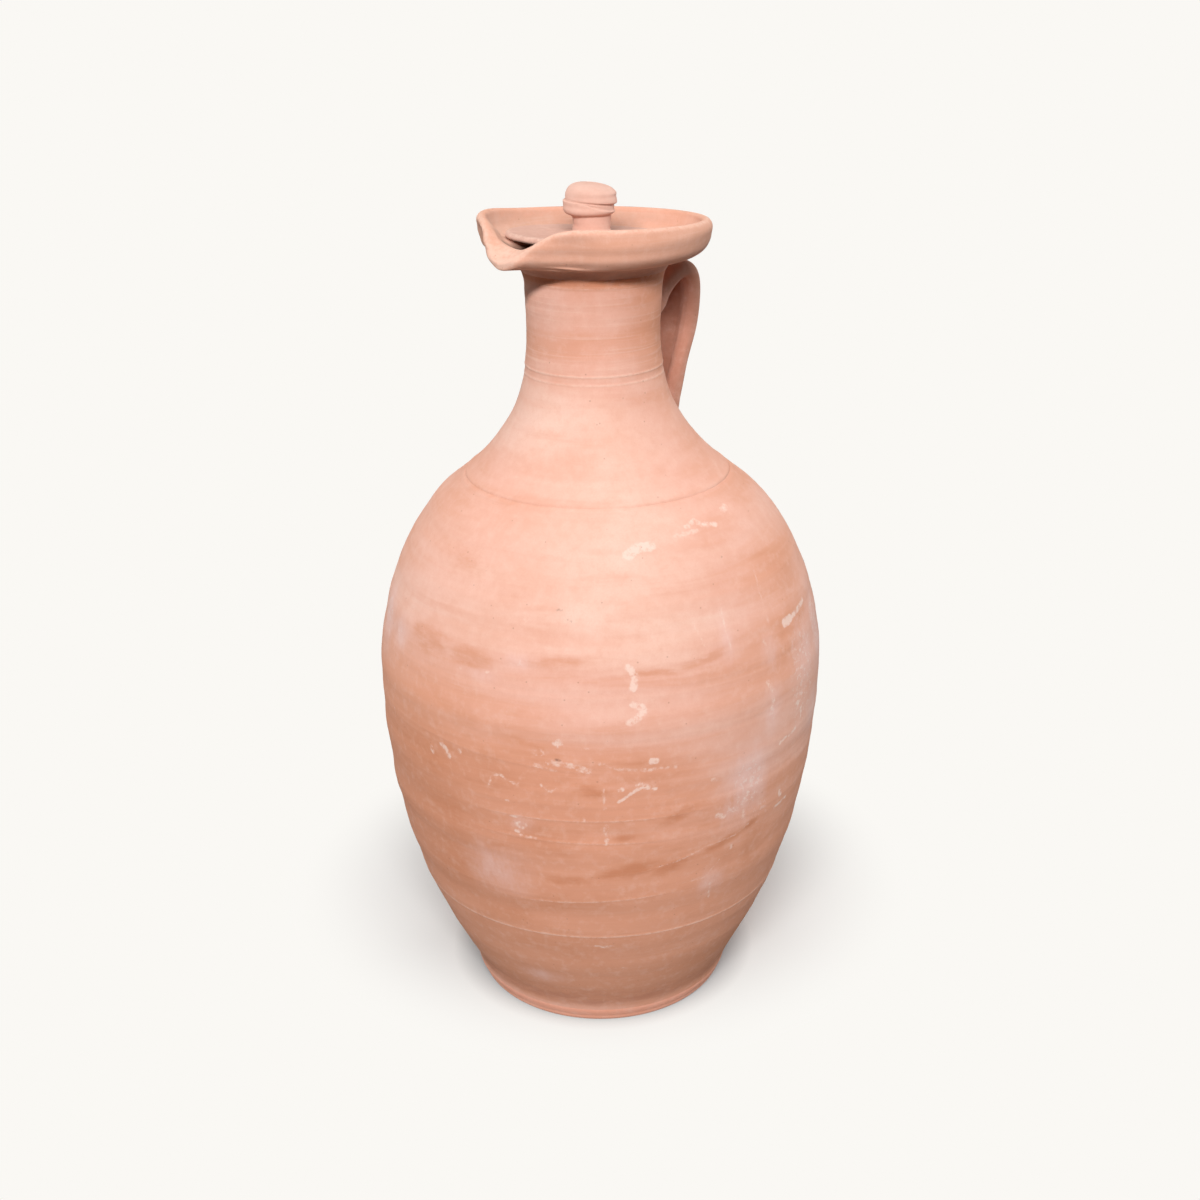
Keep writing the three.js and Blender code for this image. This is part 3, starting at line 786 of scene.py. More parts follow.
def bezier(points, count):
    """Points of the curve that its control points pull: neighbours are mixed in turn until one is left."""
    t = np.linspace(0, 1, count)[:, None]
    mixed = [np.asarray(p, float) for p in points]
    while len(mixed) > 1:
        mixed = [(1 - t) * a + t * b for a, b in zip(mixed, mixed[1:])]
    return mixed[0]


def strokes(*parts):
    """One line through strokes that follow on, each given as a number of points and its control points."""
    return np.concatenate([bezier(points, count + 1)[:-1] for count, points in parts])


mouth_low, mouth_high = box_mm("mouth")
base = mouth_joint
seat = mouth_low[2] + SEAT_HEIGHT
top = mouth_high[2]


def mouth_section(under, ledge, flank, edge, over, inside):
    """Radius and height round a section: up the neck, along the flank, over the edge, in to the ledge."""
    fillet = (NECK_RADIUS + BOWL_FILLET, under)
    return strokes(
        (10, [(NECK_RADIUS, base), (NECK_RADIUS + 2.2, under - 0.6), fillet]),
        (34, [fillet, *flank]),
        (14, [flank[-1], *edge]),
        (10, [edge[-1], *over]),
        (16, [over[-1], *inside, (SEAT_OUTER, ledge)]),
        (12, [(SEAT_OUTER, ledge), (SEAT_INNER, ledge)]),
        (8, [(SEAT_INNER, ledge), (BORE_RADIUS, ledge), (BORE_RADIUS, ledge - BORE_ROUND)]),
        (8, [(BORE_RADIUS, ledge - BORE_ROUND), (BORE_RADIUS, base)]),
        (6, [(BORE_RADIUS, base), (NECK_RADIUS, base)]),
    )


plain = mouth_section(
    under=base + BOWL_UNDERSIDE,
    ledge=seat,
    flank=[(46.5, base + BOWL_UNDERSIDE), (RIM_RADIUS - 1, base + FLANK_HEIGHT), (RIM_RADIUS, top - 6)],
    edge=[(RIM_RADIUS + 0.5, top), (RIM_RADIUS - 3.2, top)],
    over=[(RIM_RADIUS - 4.8, top), (RIM_RADIUS - 5.2, top - 2.6)],
    inside=[(RIM_RADIUS - 6.4, seat + 0.6)],
)
print(len(plain), "points in a section of the mouth; its rim is", round(top, 1), "mm up")

# %% [markdown]
# The lip's section starts from the same neck. Its edge hangs out over the wall, and a low crest between the
# channel and the tip carries the pour. The bell-shaped share between the two sections gives the lip's width.

# %% Press the lip
LIP_HALF_ANGLE = 18  # degrees
RIM_TILT = 1.95  # the bowl was put on askew: its rim and its ledge are higher on the camera's side
RIM_TURN = math.radians(18)
LEDGE_TILT = 2.8
LEDGE_TURN = math.radians(42)
PINCHES = [(-36, 5.0, 13), (33, 3.0, 13)]  # degrees from the lip, depth, spread
RISES = [(-62, 2.0, 24)]  # where the pinch pushed the rim up
FOLD_DEPTH = 0.8  # the clay under the lip wrinkled as it was pressed


def askew(angle, radius):
    """Height by which the tilt of the bowl lifts a point of it."""
    most = np.interp(radius, [0, SEAT_OUTER, RIM_RADIUS], [0, LEDGE_TILT, RIM_TILT])
    turn = np.interp(radius, [SEAT_OUTER, RIM_RADIUS], [LEDGE_TURN, RIM_TURN])
    return most * np.cos(angle - FRONT + turn)


tip = base + TIP_HEIGHT
crest = base + CREST_HEIGHT
lip = mouth_section(
    under=base + BOWL_UNDERSIDE - 0.2,
    ledge=seat - CHANNEL_DEPTH,
    flank=[(46, base + BOWL_UNDERSIDE - 0.2), (52, tip - 1.4), (TIP_RADIUS - 1.6, tip - 0.9)],
    edge=[(TIP_RADIUS + 0.4, tip - 0.8), (TIP_RADIUS, tip + 1.0)],
    over=[(TIP_RADIUS - 1.6, tip + 3.2), (51, crest)],
    inside=[(46, crest + 0.9)],
)
mouth_angle = full_turn(MOUTH_STEPS)
from_lip = np.degrees(mouth_angle) - 180
facing = from_front(mouth_angle)
share = bell(from_lip, 0, LIP_HALF_ANGLE)
section = (1 - share[..., None]) * plain[:, None] + share[..., None] * lip[:, None]
mouth_r, mouth_z = section[..., 0], section[..., 1]
# Rows of a section: the neck up to 10, flank to 44, edge to 58, over it to 68, inside to 84, ledge to 96
row = np.arange(len(plain))[:, None]
outside_wall = 1 - between(row, 50, 58)
outside = between(mouth_r, SEAT_OUTER - 4, RIM_RADIUS - 4)
pinch = sum(depth * bell(from_lip, middle, width) for middle, depth, width in PINCHES)
pinched = between(mouth_z, base + 3, base + 9) * (1 - 0.8 * between(mouth_z, top - 8, top))
mouth_r = mouth_r - pinch * pinched * outside
rise = sum(height * bell(from_lip, middle, width) for middle, height, width in RISES)
mouth_z = mouth_z + rise * between(mouth_z, seat, top)
outer_share = between(mouth_z, base + 4, top) * outside
inner_share = between(mouth_z, base + 4, seat - 1)
tilt_share = outside_wall * outer_share + (1 - outside_wall) * inner_share
mouth_z = mouth_z + askew(mouth_angle, mouth_r) * tilt_share
folds = bell(facing, -16, 9) * bell(mouth_z, base + 6.3, 1.6) * outside_wall
mouth_r = mouth_r + FOLD_DEPTH * folds * np.sin(2.7 * mouth_z + 12 * np.radians(facing))
thrown = ripple(mouth_angle, mouth_z, (3, 8), 0.1, 6, 14) + 0.3 * np.cos(3 * mouth_angle + 1)
mouth_r = mouth_r + thrown * between(mouth_r, SEAT_OUTER, SEAT_OUTER + 5)
mouth = skin("mouth_bowl", place(mouth_r, mouth_angle, mouth_z), "jar", "mouth")

# %% Paint the mouth
right_of_bowl = band(facing, 15, 60, 80, 120)
lighter_rim_right = band(facing, 0, 60, 110, 175)
poured_over = share * band(row, 52, 60, 72, 80)
# Painted shade under the bowl and at the top of the neck, and on the right of the bowl's outside
paint(mouth, "painted_shade", 1 - between(row, 8, 22) + 0.5 * right_of_bowl * (1 - between(row, 45, 55)))
# The rim's top and inside are painted darker and greyer, less on the right and not at the lip
paint(mouth, "rim_darkening", between(row, 58, 70) * (1 - share) * (1 - 0.6 * lighter_rim_right))
# Painted shadow in the channel under the lid's edge, at the lip
paint(mouth, "painted_gap_shadow", 2.2 * between(row, 72, 78) * share)
paint(mouth, "worn", bell(row, 55, 5) + poured_over)
# The dirt in this print is painted shade and painted shadow
print("dirt, dust and wear on", mouth.name)

# %% [markdown]
# ## The handle
# A strap of clay was pulled out with a wet hand, bent into an ear and smeared on to the neck and the cone
# with the fingers. It is a cross-section carried along a curve. The inside has a lengthwise hollow with
# streaks from the pulling, and both ends swell where they run out over the wall.

# %% Path of the handle
STRAP_WIDTH = 25
STRAP_THICKNESS = 10.5
STRAP_HOLLOW = 4.2
STRAP_RIM = 0.8  # share of the half width where the hollow ends and the rounded rim begins
STRAP_TAPER = 0.22
STRAP_SQUARE = 0.72  # power that turns the oval of the section towards a rounded rectangle
FINGER_GAP = 24
HANDLE_TOP = 359.5
HANDLE_FOOT = 303
HANDLE_CLIMB = 37
HANDLE_KNUCKLE = 16
HANDLE_FALL = 34
BURIED = 9  # millimetres by which the strap is drawn on into the wall
ROOT_DEPTH = 3.5  # the buried end is pressed flat at this depth
ROOT_SWELL = 0.28
ROOT_LENGTH = 14
SMEARED = 0.2  # clay smeared out over the wall, as a share of the section
SMEAR_LENGTH = 5
STRAP_ROWS = 170
STRAP_STEPS = 96


def strap_path():
    """Middle line in the handle's plane: a cubic curve from the neck to the cone, run on into both walls."""
    top_x, foot_x = smooth(outline_height, outline_radius, np.array([HANDLE_TOP, HANDLE_FOOT]))
    reach = top_x + FINGER_GAP + STRAP_THICKNESS / 2
    pull = (8 * reach - top_x - foot_x) / 6
    ends = [(top_x, HANDLE_TOP), (foot_x, HANDLE_FOOT)]
    upper = (pull + HANDLE_KNUCKLE / 2, HANDLE_TOP + HANDLE_CLIMB)
    lower = (pull - HANDLE_KNUCKLE / 2, HANDLE_FOOT + HANDLE_FALL)
    curve = bezier([ends[0], upper, lower, ends[1]], 400)
    first, last = curve[0] - curve[1], curve[-1] - curve[-2]
    into_neck = curve[0] + BURIED * first / np.linalg.norm(first)
    into_cone = curve[-1] + BURIED * last / np.linalg.norm(last)
    line = np.concatenate([[into_neck], curve, [into_cone]])
    run = np.concatenate([[0], np.cumsum(np.linalg.norm(np.diff(line, axis=0), axis=1))])
    even = np.linspace(0, run[-1], STRAP_ROWS)
    return np.stack([np.interp(even, run, line[:, k]) for k in (0, 1)], axis=-1), even


strap_line, strap_run = strap_path()
print("the strap is", round(strap_run[-1]), "mm long")


# %% Pull the handle
def squared_off(wave):
    """Keeps a wave's sign and raises its size to a power."""
    return np.sign(wave) * abs(wave) ** STRAP_SQUARE


along = strap_run[:, None]
tangent = np.gradient(strap_line, axis=0)
tangent /= np.linalg.norm(tangent, axis=1, keepdims=True)
outward = np.stack([-tangent[:, 1], tangent[:, 0]], axis=-1)
from_root = np.maximum(np.minimum(along, along[-1] - along) - BURIED, 0)
swell = ROOT_SWELL * bell(from_root, 0, ROOT_LENGTH) + SMEARED * bell(from_root, 0, SMEAR_LENGTH)
taper = 1 - STRAP_TAPER * between(along / along[-1], 0.45, 1)
closing = np.ones((STRAP_ROWS, 1))
closing[[0, -1]] = 0  # each end comes to a point

strap_angle = full_turn(STRAP_STEPS)
side = squared_off(np.cos(strap_angle))
through = squared_off(np.sin(strap_angle))
inner_face = between(-through, 0.2, 0.9)
hollow = (1 - np.minimum(abs(side) / STRAP_RIM, 1) ** 2) ** 2
streaks = 0.12 * np.sin(11 * side + 0.05 * along) + 0.08 * np.sin(23 * side - 0.04 * along)
dents = 0.25 * np.cos(along / 7 + 2 * side) + 0.2 * np.cos(along / 4.3 - 3 * side)
lift = STRAP_THICKNESS / 2 * through + inner_face * (STRAP_HOLLOW * hollow + streaks)
lift = closing * (1 + swell) * (lift + dents * (1 - inner_face))
strap_x = strap_line[:, :1] + outward[:, :1] * lift
strap_z = strap_line[:, 1:] + outward[:, 1:] * lift
strap_y = closing * STRAP_WIDTH / 2 * side * (1 + swell / 2) * taper
buried = smooth(outline_height, outline_radius, strap_z) - ROOT_DEPTH
press = np.maximum(buried / np.hypot(strap_x, strap_y), 1)
handle_grid = np.stack([strap_x * press, strap_y * press, strap_z], axis=-1)
handle = skin("handle_strap", handle_grid, "jar", "handle", poles=True)
# Painted shade in the hollow of the strap
paint(handle, "painted_shade", np.broadcast_to(inner_face * hollow, handle_grid.shape[:2]), poles=True)

# %% [markdown]
# ## The lid and its knob
# The lid is a thin disc that lies loose on the ledge, slightly dished, with a knob thrown on top of it. The
# knob has a short stem, a swollen ring and a dome. A groove runs between ring and dome, cut by a tool that
# wandered, so it is wide on one side and closes up on the other.

# %% Throw the lid
LID_STEPS = 360
LID_EDGE = 2.2
LID_DISH = 0.7
LID_THICKNESS = 3.2
LID_GAP = 0.05  # under the lid
UNDER_ROWS = 16
OVER_ROWS = 60

lid_radius = box_mm("lid")[1][0]
lid_flat = lid_radius - LID_EDGE
lid_bottom = seat + LID_GAP
lid_top = lid_bottom + LID_THICKNESS
lid_middle = (lid_bottom + lid_top) / 2
lid_angle = full_turn(LID_STEPS)
edge_turn = np.radians(np.linspace(-90, 90, 17)[1:-1])
edge_r = lid_flat + LID_EDGE * np.cos(edge_turn)
edge_z = lid_middle + LID_THICKNESS / 2 * np.sin(edge_turn)
flat_under, flat_over = np.linspace(0, lid_flat, UNDER_ROWS), np.linspace(lid_flat, 0, OVER_ROWS)
lid_r = np.concatenate([flat_under, edge_r, flat_over])[:, None]
lid_z = np.concatenate([np.full(UNDER_ROWS, lid_bottom), edge_z, np.full(OVER_ROWS, lid_top)])[:, None]
on_top = (lid_z > lid_middle) * between(lid_r, 0, 4)
dish = LID_DISH * band(lid_r, 10, 24, 30, lid_radius - 1)
turned_lines = ripple(lid_angle, lid_r, (3, 9), 0.1, 6, 31)
lid_z = lid_z + on_top * (turned_lines - dish)
lid_r = lid_r + 0.25 * np.cos(2 * lid_angle + 0.6) * between(lid_r, 30, lid_radius)
lid_z = lid_z + askew(lid_angle, lid_r)
lid = skin("lid_disc", place(lid_r, lid_angle, lid_z), "lid", "lid", poles=True)
paint(lid, "worn", bell(lid_r, lid_radius - 1, 1.5), poles=True)

# %% Throw the knob
KNOB_STEPS = 240
KNOB_ASIDE = -0.7  # millimetres to the camera's right
KNOB_FOOT = 11.5
KNOB_STEM = 8.7
KNOB_RING = 12.2
KNOB_DOME = 11.9
RING_ASIDE = 0.85  # millimetres to the camera's left
KNOB_SETTLED = 0.9  # the dome sank a little as it dried
STEM_TOP = 9.2
RING_TOP = 15.4

knob_bottom = lid_top - 0.8
knob_height = box_mm("lid_knob")[1][2] - KNOB_SETTLED - knob_bottom
knob_angle = full_turn(KNOB_STEPS)
waist = (KNOB_STEM, STEM_TOP / 2)
under_ring = (KNOB_RING - 2.2, STEM_TOP + 0.3)
ring_side = (KNOB_RING, STEM_TOP + 4)
dome_side = (KNOB_DOME, RING_TOP + 2.5)
peak = (0, knob_height)
knob_section = strokes(
    (5, [(0, 0), (KNOB_FOOT, 0)]),
    (14, [(KNOB_FOOT, 0), (KNOB_STEM, 0.6), waist]),
    (14, [waist, (KNOB_STEM, STEM_TOP), under_ring]),
    (14, [under_ring, (KNOB_RING + 0.3, STEM_TOP + 1.2), ring_side]),
    (40, [ring_side, (KNOB_DOME + 0.3, RING_TOP), dome_side]),
    (26, [dome_side, (KNOB_DOME, knob_height), peak]),
)
knob_section = np.concatenate([knob_section, [peak]])
knob_r, knob_h = knob_section[:, :1], knob_section[:, 1:]
to_right = np.sin(knob_angle - FRONT)
groove_half = 0.3 + 0.9 * between(to_right, -0.7, 0.9)
groove_top = RING_TOP - 1.3 * to_right
inside_groove = np.exp(-(((knob_h - groove_top + groove_half) / groove_half) ** 4))
undercut = bell(knob_h, groove_top, 0.45)
crease = bell(knob_h, groove_top - 2 * groove_half, 0.4) * between(to_right, -0.6, 0.2)
knob_groove = 0.5 * groove_half * inside_groove + (0.45 + 0.25 * to_right) * undercut + 0.4 * crease
ring_share = between(knob_h, STEM_TOP - 1, STEM_TOP + 1) * (1 - between(knob_h - groove_top, -0.6, 0.4))
knob_r = knob_r - RING_ASIDE * to_right * ring_share
lopsided = 0.8 * to_right * between(knob_h, RING_TOP + 1, knob_height)
knob_wobble = 0.18 * np.cos(3 * knob_angle + knob_h / 3) + ripple(knob_angle, knob_h, (2, 5), 0.06, 5, 41)
knob_r = knob_r + (knob_wobble - knob_groove) * between(knob_r, 2, 8)
knob_h = knob_h - lopsided * between(knob_r, 0, 9)
knob_points = place(knob_r, knob_angle, knob_bottom + knob_h) + KNOB_ASIDE * across
knob = skin("knob", knob_points, "lid", "lid_knob", poles=True)
# Painted shade in the groove under the dome and in the crease below it
paint(knob, "painted_shade", undercut + 0.7 * crease, poles=True)

# %% [markdown]
# ## Fired clay
# Earthenware is matt and slightly gritty. Light scatters in its rough skin, so it has almost no gloss. What
# the eye reads is the cloudy change of tone from the fire, horizontal streaks from the sponge and the rib,
# fine grit with a few larger grains of crushed pottery in it, and the marks. All of it is worked out from
# Object coordinates in millimetre sizes, and from the numbers on the points.

# %% A helper for nodes, and colours
def srgb(code):
    """Linear red, green, blue and alpha of a hex colour: each channel through the sRGB curve."""
    values = [int(code[i : i + 2], 16) / 255 for i in (1, 3, 5)]
    return (*[v / 12.92 if v <= 0.04045 else ((v + 0.055) / 1.055) ** 2.4 for v in values], 1)


def add(tree, kind, inputs, out=0, **settings):
    """Adds a node with its settings, links or sets each named input, and gives back one output."""
    node = tree.nodes.new(kind)
    for name, value in settings.items():
        setattr(node, name, value)
    for key, value in inputs.items():
        if isinstance(value, bpy.types.NodeSocket):
            tree.links.new(value, node.inputs[key])
        else:
            node.inputs[key].default_value = value
    return node.outputs[out]


def per(millimetres):
    """Texture scale for a pattern of this size."""
    return 1 / (millimetres * MM)


print("pale clay in linear light:", [round(x, 3) for x in srgb("#f2c0ad")])

# %% [markdown]
# One function makes the clay, paler or redder for each piece. A piece lists the kinds of mark that were
# painted on its points. Noise breaks each mark up, so that it ends in flakes and not in a clean line.

# %% Patterns and marks in the clay
# Pattern: its size in millimetres, detail, roughness, stretch (drawn out where it is below 1), distortion
PATTERNS = {
    "bands": (11, 3, 0.6, (0.14, 0.14, 1), 0.5),
    "cloud": (45, 5, 0.6, (1, 1, 1), 0),
    "hairs": (1.4, 2, 0.6, (0.03, 0.03, 1), 0),
    "grit": (0.9, 3, 0.7, (1, 1, 1), 0),
    "mottle": (5, 4, 0.65, (1, 1, 1), 0),
    "flake": (2.4, 4, 0.7, (1, 1, 1), 0),
    "wipe": (8, 6, 0.75, (1, 1, 0.4), 0),
    "brush": (4, 4, 0.6, (0.3, 0.3, 1), 0),
    "wash": (24, 5, 0.6, (0.45, 0.45, 1), 0.6),
}
# Mark: its pattern and the pattern's reach, the cover at which it starts and is full, its opacity and colour
MARKS = {
    # Painted shade: darker clay in grooves and hollows, under the bowl, on the bowl's right and above the
    # foot
    "painted_shade": ("brush", 0.4, 0.1, 1.5, 0.5, "#b57963"),
    "haze": ("wipe", 0.45, 0.1, 1.5, 0.45, "#fadcd8"),
    "smear": ("brush", 0.42, 0.2, 1.2, 0.45, "#d6895d"),
    "wet": ("brush", 0.9, 0.4, 1.3, 0.27, "#bb6b42"),
    "worn": ("flake", 0.3, 0.3, 1.3, 0.4, "#fadbca"),
    "lime": ("flake", 0.32, 0.3, 0.9, 0.75, "#fbe0d3"),
    "pit": ("flake", 0.3, 0.4, 0.9, 0.65, "#8d5a48"),
    # Painted shadow: near-black in the channel under the lid's edge
    "painted_gap_shadow": ("brush", 0.9, 0.05, 1.1, 0.92, "#3a1d14"),
    # Darker, greyer top and inside of the rim
    "rim_darkening": ("brush", 0.9, 0.1, 1.5, 0.42, "#b8a596"),
    "fleck": ("flake", 0.1, 0.9, 1.4, 0.5, "#f8e0d8"),
}
WALL_MARKS = ["painted_shade", "haze", "fleck", "smear", "wet", "worn", "lime", "pit"]
MOUTH_MARKS = ["painted_shade", "rim_darkening", "worn", "painted_gap_shadow"]
print(len(PATTERNS), "patterns,", len(MARKS), "kinds of mark")

# %% Fired terracotta
NOISE, MAP, MIX, MATH = "ShaderNodeTexNoise", "ShaderNodeMapRange", "ShaderNodeMix", "ShaderNodeMath"
PAINTED, BUMP = "ShaderNodeAttribute", "ShaderNodeBump"
GRIT_DEPTH = 0.12  # millimetres, also of the combed lines
GRAIN_SIZE = 7


def terracotta(name, pale, streak, combed, kinds):
    """Unglazed earthenware: matt, cloudy, combed with fine lines, gritty, and with these kinds of mark."""
    material = bpy.data.materials.new(name)
    material.use_nodes = True
    tree = material.node_tree
    shader = tree.nodes["Principled BSDF"]
    place_in_clay = add(tree, "ShaderNodeTexCoord", {}, out="Object")
    noise = {}
    for pattern, (size, detail, roughness, stretch, distortion) in PATTERNS.items():
        spot = add(tree, "ShaderNodeMapping", {"Vector": place_in_clay, "Scale": stretch})
        settings = {"Scale": per(size), "Detail": detail, "Roughness": roughness, "Distortion": distortion}
        noise[pattern] = add(tree, NOISE, {"Vector": spot, **settings})
    tints = []  # share and colour of each layer over the pale clay, in turn
    if "lime" in kinds:
        # tone also carries painted shade, deeper at the top of the neck under the bowl
        tone = add(tree, PAINTED, {}, out="Fac", attribute_name="tone")
        low_down = add(tree, PAINTED, {}, out="Fac", attribute_name="foot_shade")
        ragged = add(tree, MATH, {0: noise["bands"], 1: 0.7, 2: -0.35}, operation="MULTIPLY_ADD")
        ragged = add(tree, MATH, {0: tone, 1: ragged}, operation="ADD")
        deeper = add(tree, MAP, {0: ragged, 1: 0.5, 2: 1.0})
        burnt = add(tree, MAP, {0: noise["wash"], 1: 0.48, 2: 0.68, 4: 0.45})
        tints = [
            (add(tree, MAP, {0: ragged, 1: 0.5, 2: 0.0}), "#f8d4c3"),
            (deeper, "#eaa98b"),
            (add(tree, MAP, {0: ragged, 1: 1.0, 2: 1.6, 4: 0.8}), "#cb835f"),
            # painted shade, darker towards the foot
            (add(tree, MATH, {0: low_down, 1: 0.5}, operation="MULTIPLY"), "#b97c5c"),
            (add(tree, MATH, {0: deeper, 1: burnt}, operation="MULTIPLY"), "#cf8760"),
        ]
    layers = [
        ("cloud", 0.4, 0.7, 0.35, streak),
        ("bands", 0.5, 0.75, 0.4, streak),
        ("hairs", 0.55, 0.8, combed / 2, "#fbdccb"),
        ("mottle", 0.5, 0.72, 0.22, "#fbd9ca"),
        ("mottle", 0.5, 0.28, 0.22, streak),
        ("grit", 0.45, 0.75, 0.2, streak),
    ]
    for pattern, start, full, most, code in layers:
        tints.append((add(tree, MAP, {0: noise[pattern], 1: start, 2: full, 4: most}), code))
    for kind in kinds:
        pattern, reach, start, full, most, code = MARKS[kind]
        cover = add(tree, PAINTED, {}, out="Fac", attribute_name=kind)
        broken = add(tree, MAP, {0: noise[pattern], 1: 0.5 - reach, 2: 0.5 + reach, 4: 2})
        cover = add(tree, MATH, {0: cover, 1: broken}, operation="MULTIPLY")
        cover = add(tree, MAP, {0: cover, 1: start, 2: full, 4: most}, interpolation_type="SMOOTHSTEP")
        tints.append((cover, code))
    grains = add(tree, "ShaderNodeTexVoronoi", {"Vector": place_in_clay, "Scale": per(GRAIN_SIZE)})
    tints.append((add(tree, MAP, {0: grains, 1: 0.07, 2: 0.04, 4: 0.35}), "#a96b52"))
    colour = srgb(pale)
    for share, code in tints:
        colour = add(tree, MIX, {0: share, 6: colour, 7: srgb(code)}, out=2, data_type="RGBA")
    tree.links.new(colour, shader.inputs["Base Color"])
    matt = add(tree, MAP, {0: noise["mottle"], 1: 0.3, 2: 0.7, 3: 0.82, 4: 0.94})
    tree.links.new(matt, shader.inputs["Roughness"])
    shader.inputs["Diffuse Roughness"].default_value = 0.4
    shader.inputs["IOR"].default_value = 1.5
    shader.inputs["Specular IOR Level"].default_value = 0.35
    depth = {"Distance": GRIT_DEPTH * MM}
    lines = add(tree, BUMP, {"Height": noise["hairs"], "Strength": combed, **depth})
    rough = add(tree, BUMP, {"Height": noise["grit"], "Strength": 0.5, "Normal": lines, **depth})
    tree.links.new(rough, shader.inputs["Normal"])
    return material


print("grit", GRIT_DEPTH, "mm deep, grains", GRAIN_SIZE, "mm apart")

# %% Clay for each piece
lower_wall, upper_wall, cone_wall, neck_wall = (piece for piece, _ in walls)
# Clay: its name, palest colour, streaks, combing, kinds of mark, and the pieces that are made of it
CLAYS = [
    ("wall", "#f2c0ad", "#e5a689", 0.2, WALL_MARKS, [lower_wall, upper_wall, cone_wall]),
    ("neck", "#f2c0ad", "#e5a689", 0.7, WALL_MARKS, [neck_wall]),
    ("mouth", "#efbaa2", "#dd9d7d", 0.35, MOUTH_MARKS, [mouth]),
    # The handle's clay is painted darker than the wall's: painted shade
    ("handle", "#d79d87", "#c48467", 0.1, ["painted_shade"], [handle]),
    # The foot's clay is painted lighter than the wall's: painted light from the floor
    ("foot", "#f6b298", "#eaa283", 0.3, ["painted_shade"], [foot]),
    # The lid's and the knob's clays are painted darker than the wall's: painted shade
    ("lid", "#e0b5a4", "#cf9a86", 0.3, ["worn"], [lid]),
    ("knob", "#ecc3b2", "#dfa892", 0.3, ["painted_shade"], [knob]),
]
for name, pale, streak, combed, kinds, pieces in CLAYS:
    clay = terracotta(f"fired_terracotta_{name}", pale, streak, combed, kinds)
    for piece in pieces:
        piece.data.materials.append(clay)
print("clay in", len(CLAYS), "firings")

# %% [markdown]
# ## Floor and light
# The jar stands on a pale floor that runs out into a pale background. A lamp high in front gives the short
# shadow under the bowl, one overhead softens it, and one behind the jar on either side lights its edges. Away
# from the jar the floor shows the background's colour to the camera, and near the jar it takes the shadow.
# Hardly any light gets in beside the foot, so the paper's colour is painted darker there: a painted shadow.

# %% Floor
BACKGROUND = "#faf8f4"
FLOOR_SIZE = 6.0  # metres
FLOOR_STEPS = 25
# The soft shadow and the narrow painted shade beside the foot: metres from the jar back to the middle of
# each, metres from there to where it starts to fade and to where it ends, and how it fades
SHADES = [(0.085, 0.08, 0.185, "SMOOTHSTEP"), (0.011, 0.06, 0.084, "LINEAR")]

line = np.linspace(-FLOOR_SIZE / 2, FLOOR_SIZE / 2, FLOOR_STEPS)
floor_points = np.stack([*(c.ravel() for c in np.meshgrid(line, line)), np.zeros(FLOOR_STEPS**2)], axis=-1)
cell = np.arange(FLOOR_STEPS**2).reshape(FLOOR_STEPS, FLOOR_STEPS)
floor_quads = np.stack([cell[:-1, :-1], cell[:-1, 1:], cell[1:, 1:], cell[1:, :-1]], axis=-1).reshape(-1, 4)
floor_mesh = bpy.data.meshes.new("floor")
floor_mesh.from_pydata(floor_points.tolist(), [], floor_quads.tolist())
floor = bpy.data.objects.new("floor", floor_mesh)
bpy.context.scene.collection.objects.link(floor)

paper = bpy.data.materials.new("pale_paper_floor")
paper.use_nodes = True
tree = paper.node_tree
tree.nodes.remove(tree.nodes["Principled BSDF"])
spot = add(tree, "ShaderNodeTexCoord", {}, out="Object")
out_of = []
for behind, start, end, fading in SHADES:
    middle = (*(behind * ahead[:2]), 0)
    far = add(tree, "ShaderNodeVectorMath", {0: spot, 1: middle}, out="Value", operation="DISTANCE")
    out_of.append(add(tree, MAP, {0: far, 1: start, 2: end}, interpolation_type=fading))
out_of_shadow, out_of_contact = out_of
fade = add(tree, MATH, {0: out_of_shadow, 1: out_of_contact}, operation="MULTIPLY")
# Painted shadow: the paper's colour turns grey close beside the foot
papers = {0: out_of_contact, 6: srgb("#84898e"), 7: srgb("#fbf9f7")}
near_foot = add(tree, MIX, papers, out=2, data_type="RGBA")
seen = add(tree, "ShaderNodeLightPath", {}, out="Is Camera Ray")
dim = add(tree, "ShaderNodeBsdfDiffuse", {"Color": srgb("#6b6966")})
shaded = add(tree, "ShaderNodeBsdfDiffuse", {"Color": near_foot})
glow = add(tree, "ShaderNodeEmission", {"Color": srgb(BACKGROUND), "Strength": 0.02})
lit = add(tree, "ShaderNodeAddShader", {0: shaded, 1: glow})
plain_paper = add(tree, "ShaderNodeEmission", {"Color": srgb(BACKGROUND), "Strength": 1})
faded = add(tree, "ShaderNodeMixShader", {0: fade, 1: lit, 2: plain_paper})
shown = add(tree, "ShaderNodeMixShader", {0: seen, 1: dim, 2: faded})
tree.links.new(shown, tree.nodes["Material Output"].inputs["Surface"])
floor_mesh.materials.append(paper)
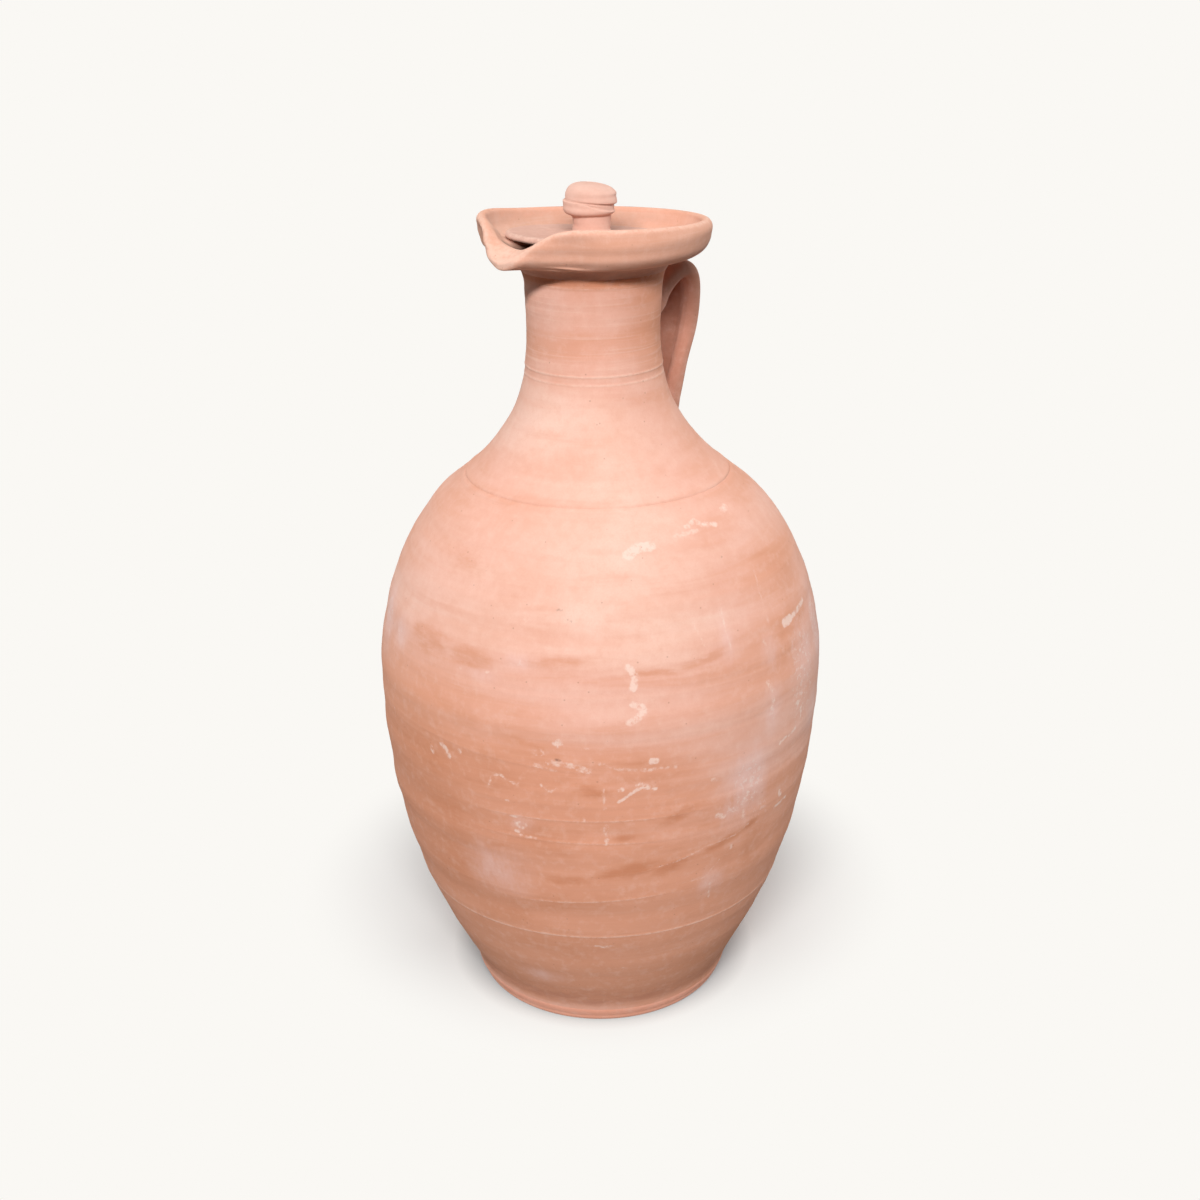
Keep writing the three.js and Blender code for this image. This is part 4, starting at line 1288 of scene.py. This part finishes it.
print("floor", FLOOR_SIZE, "m wide")

# %% Lamps and sky
LIT = np.array([0, 0, 0.2])  # metres, middle of the jar
WATTS_FOR_WHITE = math.pi**2  # at one metre, for a surface that faces the lamp
SKY_LEVEL = 0.01


def lamp(name, aside, elevation, distance, width, height, level):
    """A soft lamp that faces the jar, some degrees to the camera's right. Level 1 lights white as white."""
    turn = FRONT + math.radians(aside)
    rise = math.radians(elevation)
    towards = np.array([math.cos(rise) * math.cos(turn), math.cos(rise) * math.sin(turn), math.sin(rise)])
    sideways = np.array([-math.sin(turn), math.cos(turn), 0])
    light = bpy.data.lights.new(name, "AREA")
    light.shape = "RECTANGLE"
    light.size = width
    light.size_y = height
    light.energy = level * WATTS_FOR_WHITE * distance**2
    matrix = Matrix([sideways, np.cross(towards, sideways), towards]).transposed().to_4x4()
    matrix.translation = LIT + distance * towards
    placed = bpy.data.objects.new(name, light)
    placed.matrix_world = matrix
    bpy.context.scene.collection.objects.link(placed)


lamp("key", -4, 33, 2.4, 1.3, 0.2, 0.9)
lamp("overhead", 0, 68, 1.5, 1.1, 1.1, 0.27)
lamp("right_edge", 126, 10, 2.2, 0.8, 1.2, 0.36)
lamp("left_edge", -126, 10, 2.2, 0.8, 1.2, 0.2)

world = bpy.data.worlds.new("studio")
bpy.context.scene.world = world
world.use_nodes = True
tree = world.node_tree
direct = 0
for ray in ("Is Camera Ray", "Is Glossy Ray", "Is Transmission Ray"):
    met = add(tree, "ShaderNodeLightPath", {}, out=ray)
    direct = add(tree, MATH, {0: met, 1: direct}, operation="MAXIMUM")
sky = add(tree, "ShaderNodeBackground", {"Color": (1, 1, 1, 1), "Strength": SKY_LEVEL})
backdrop = add(tree, "ShaderNodeBackground", {"Color": srgb(BACKGROUND), "Strength": 1})
either = add(tree, "ShaderNodeMixShader", {0: direct, 1: sky, 2: backdrop})
tree.links.new(either, tree.nodes["World Output"].inputs["Surface"])
bpy.context.scene.view_settings.view_transform = "Standard"
print(len(bpy.data.lights), "lamps")
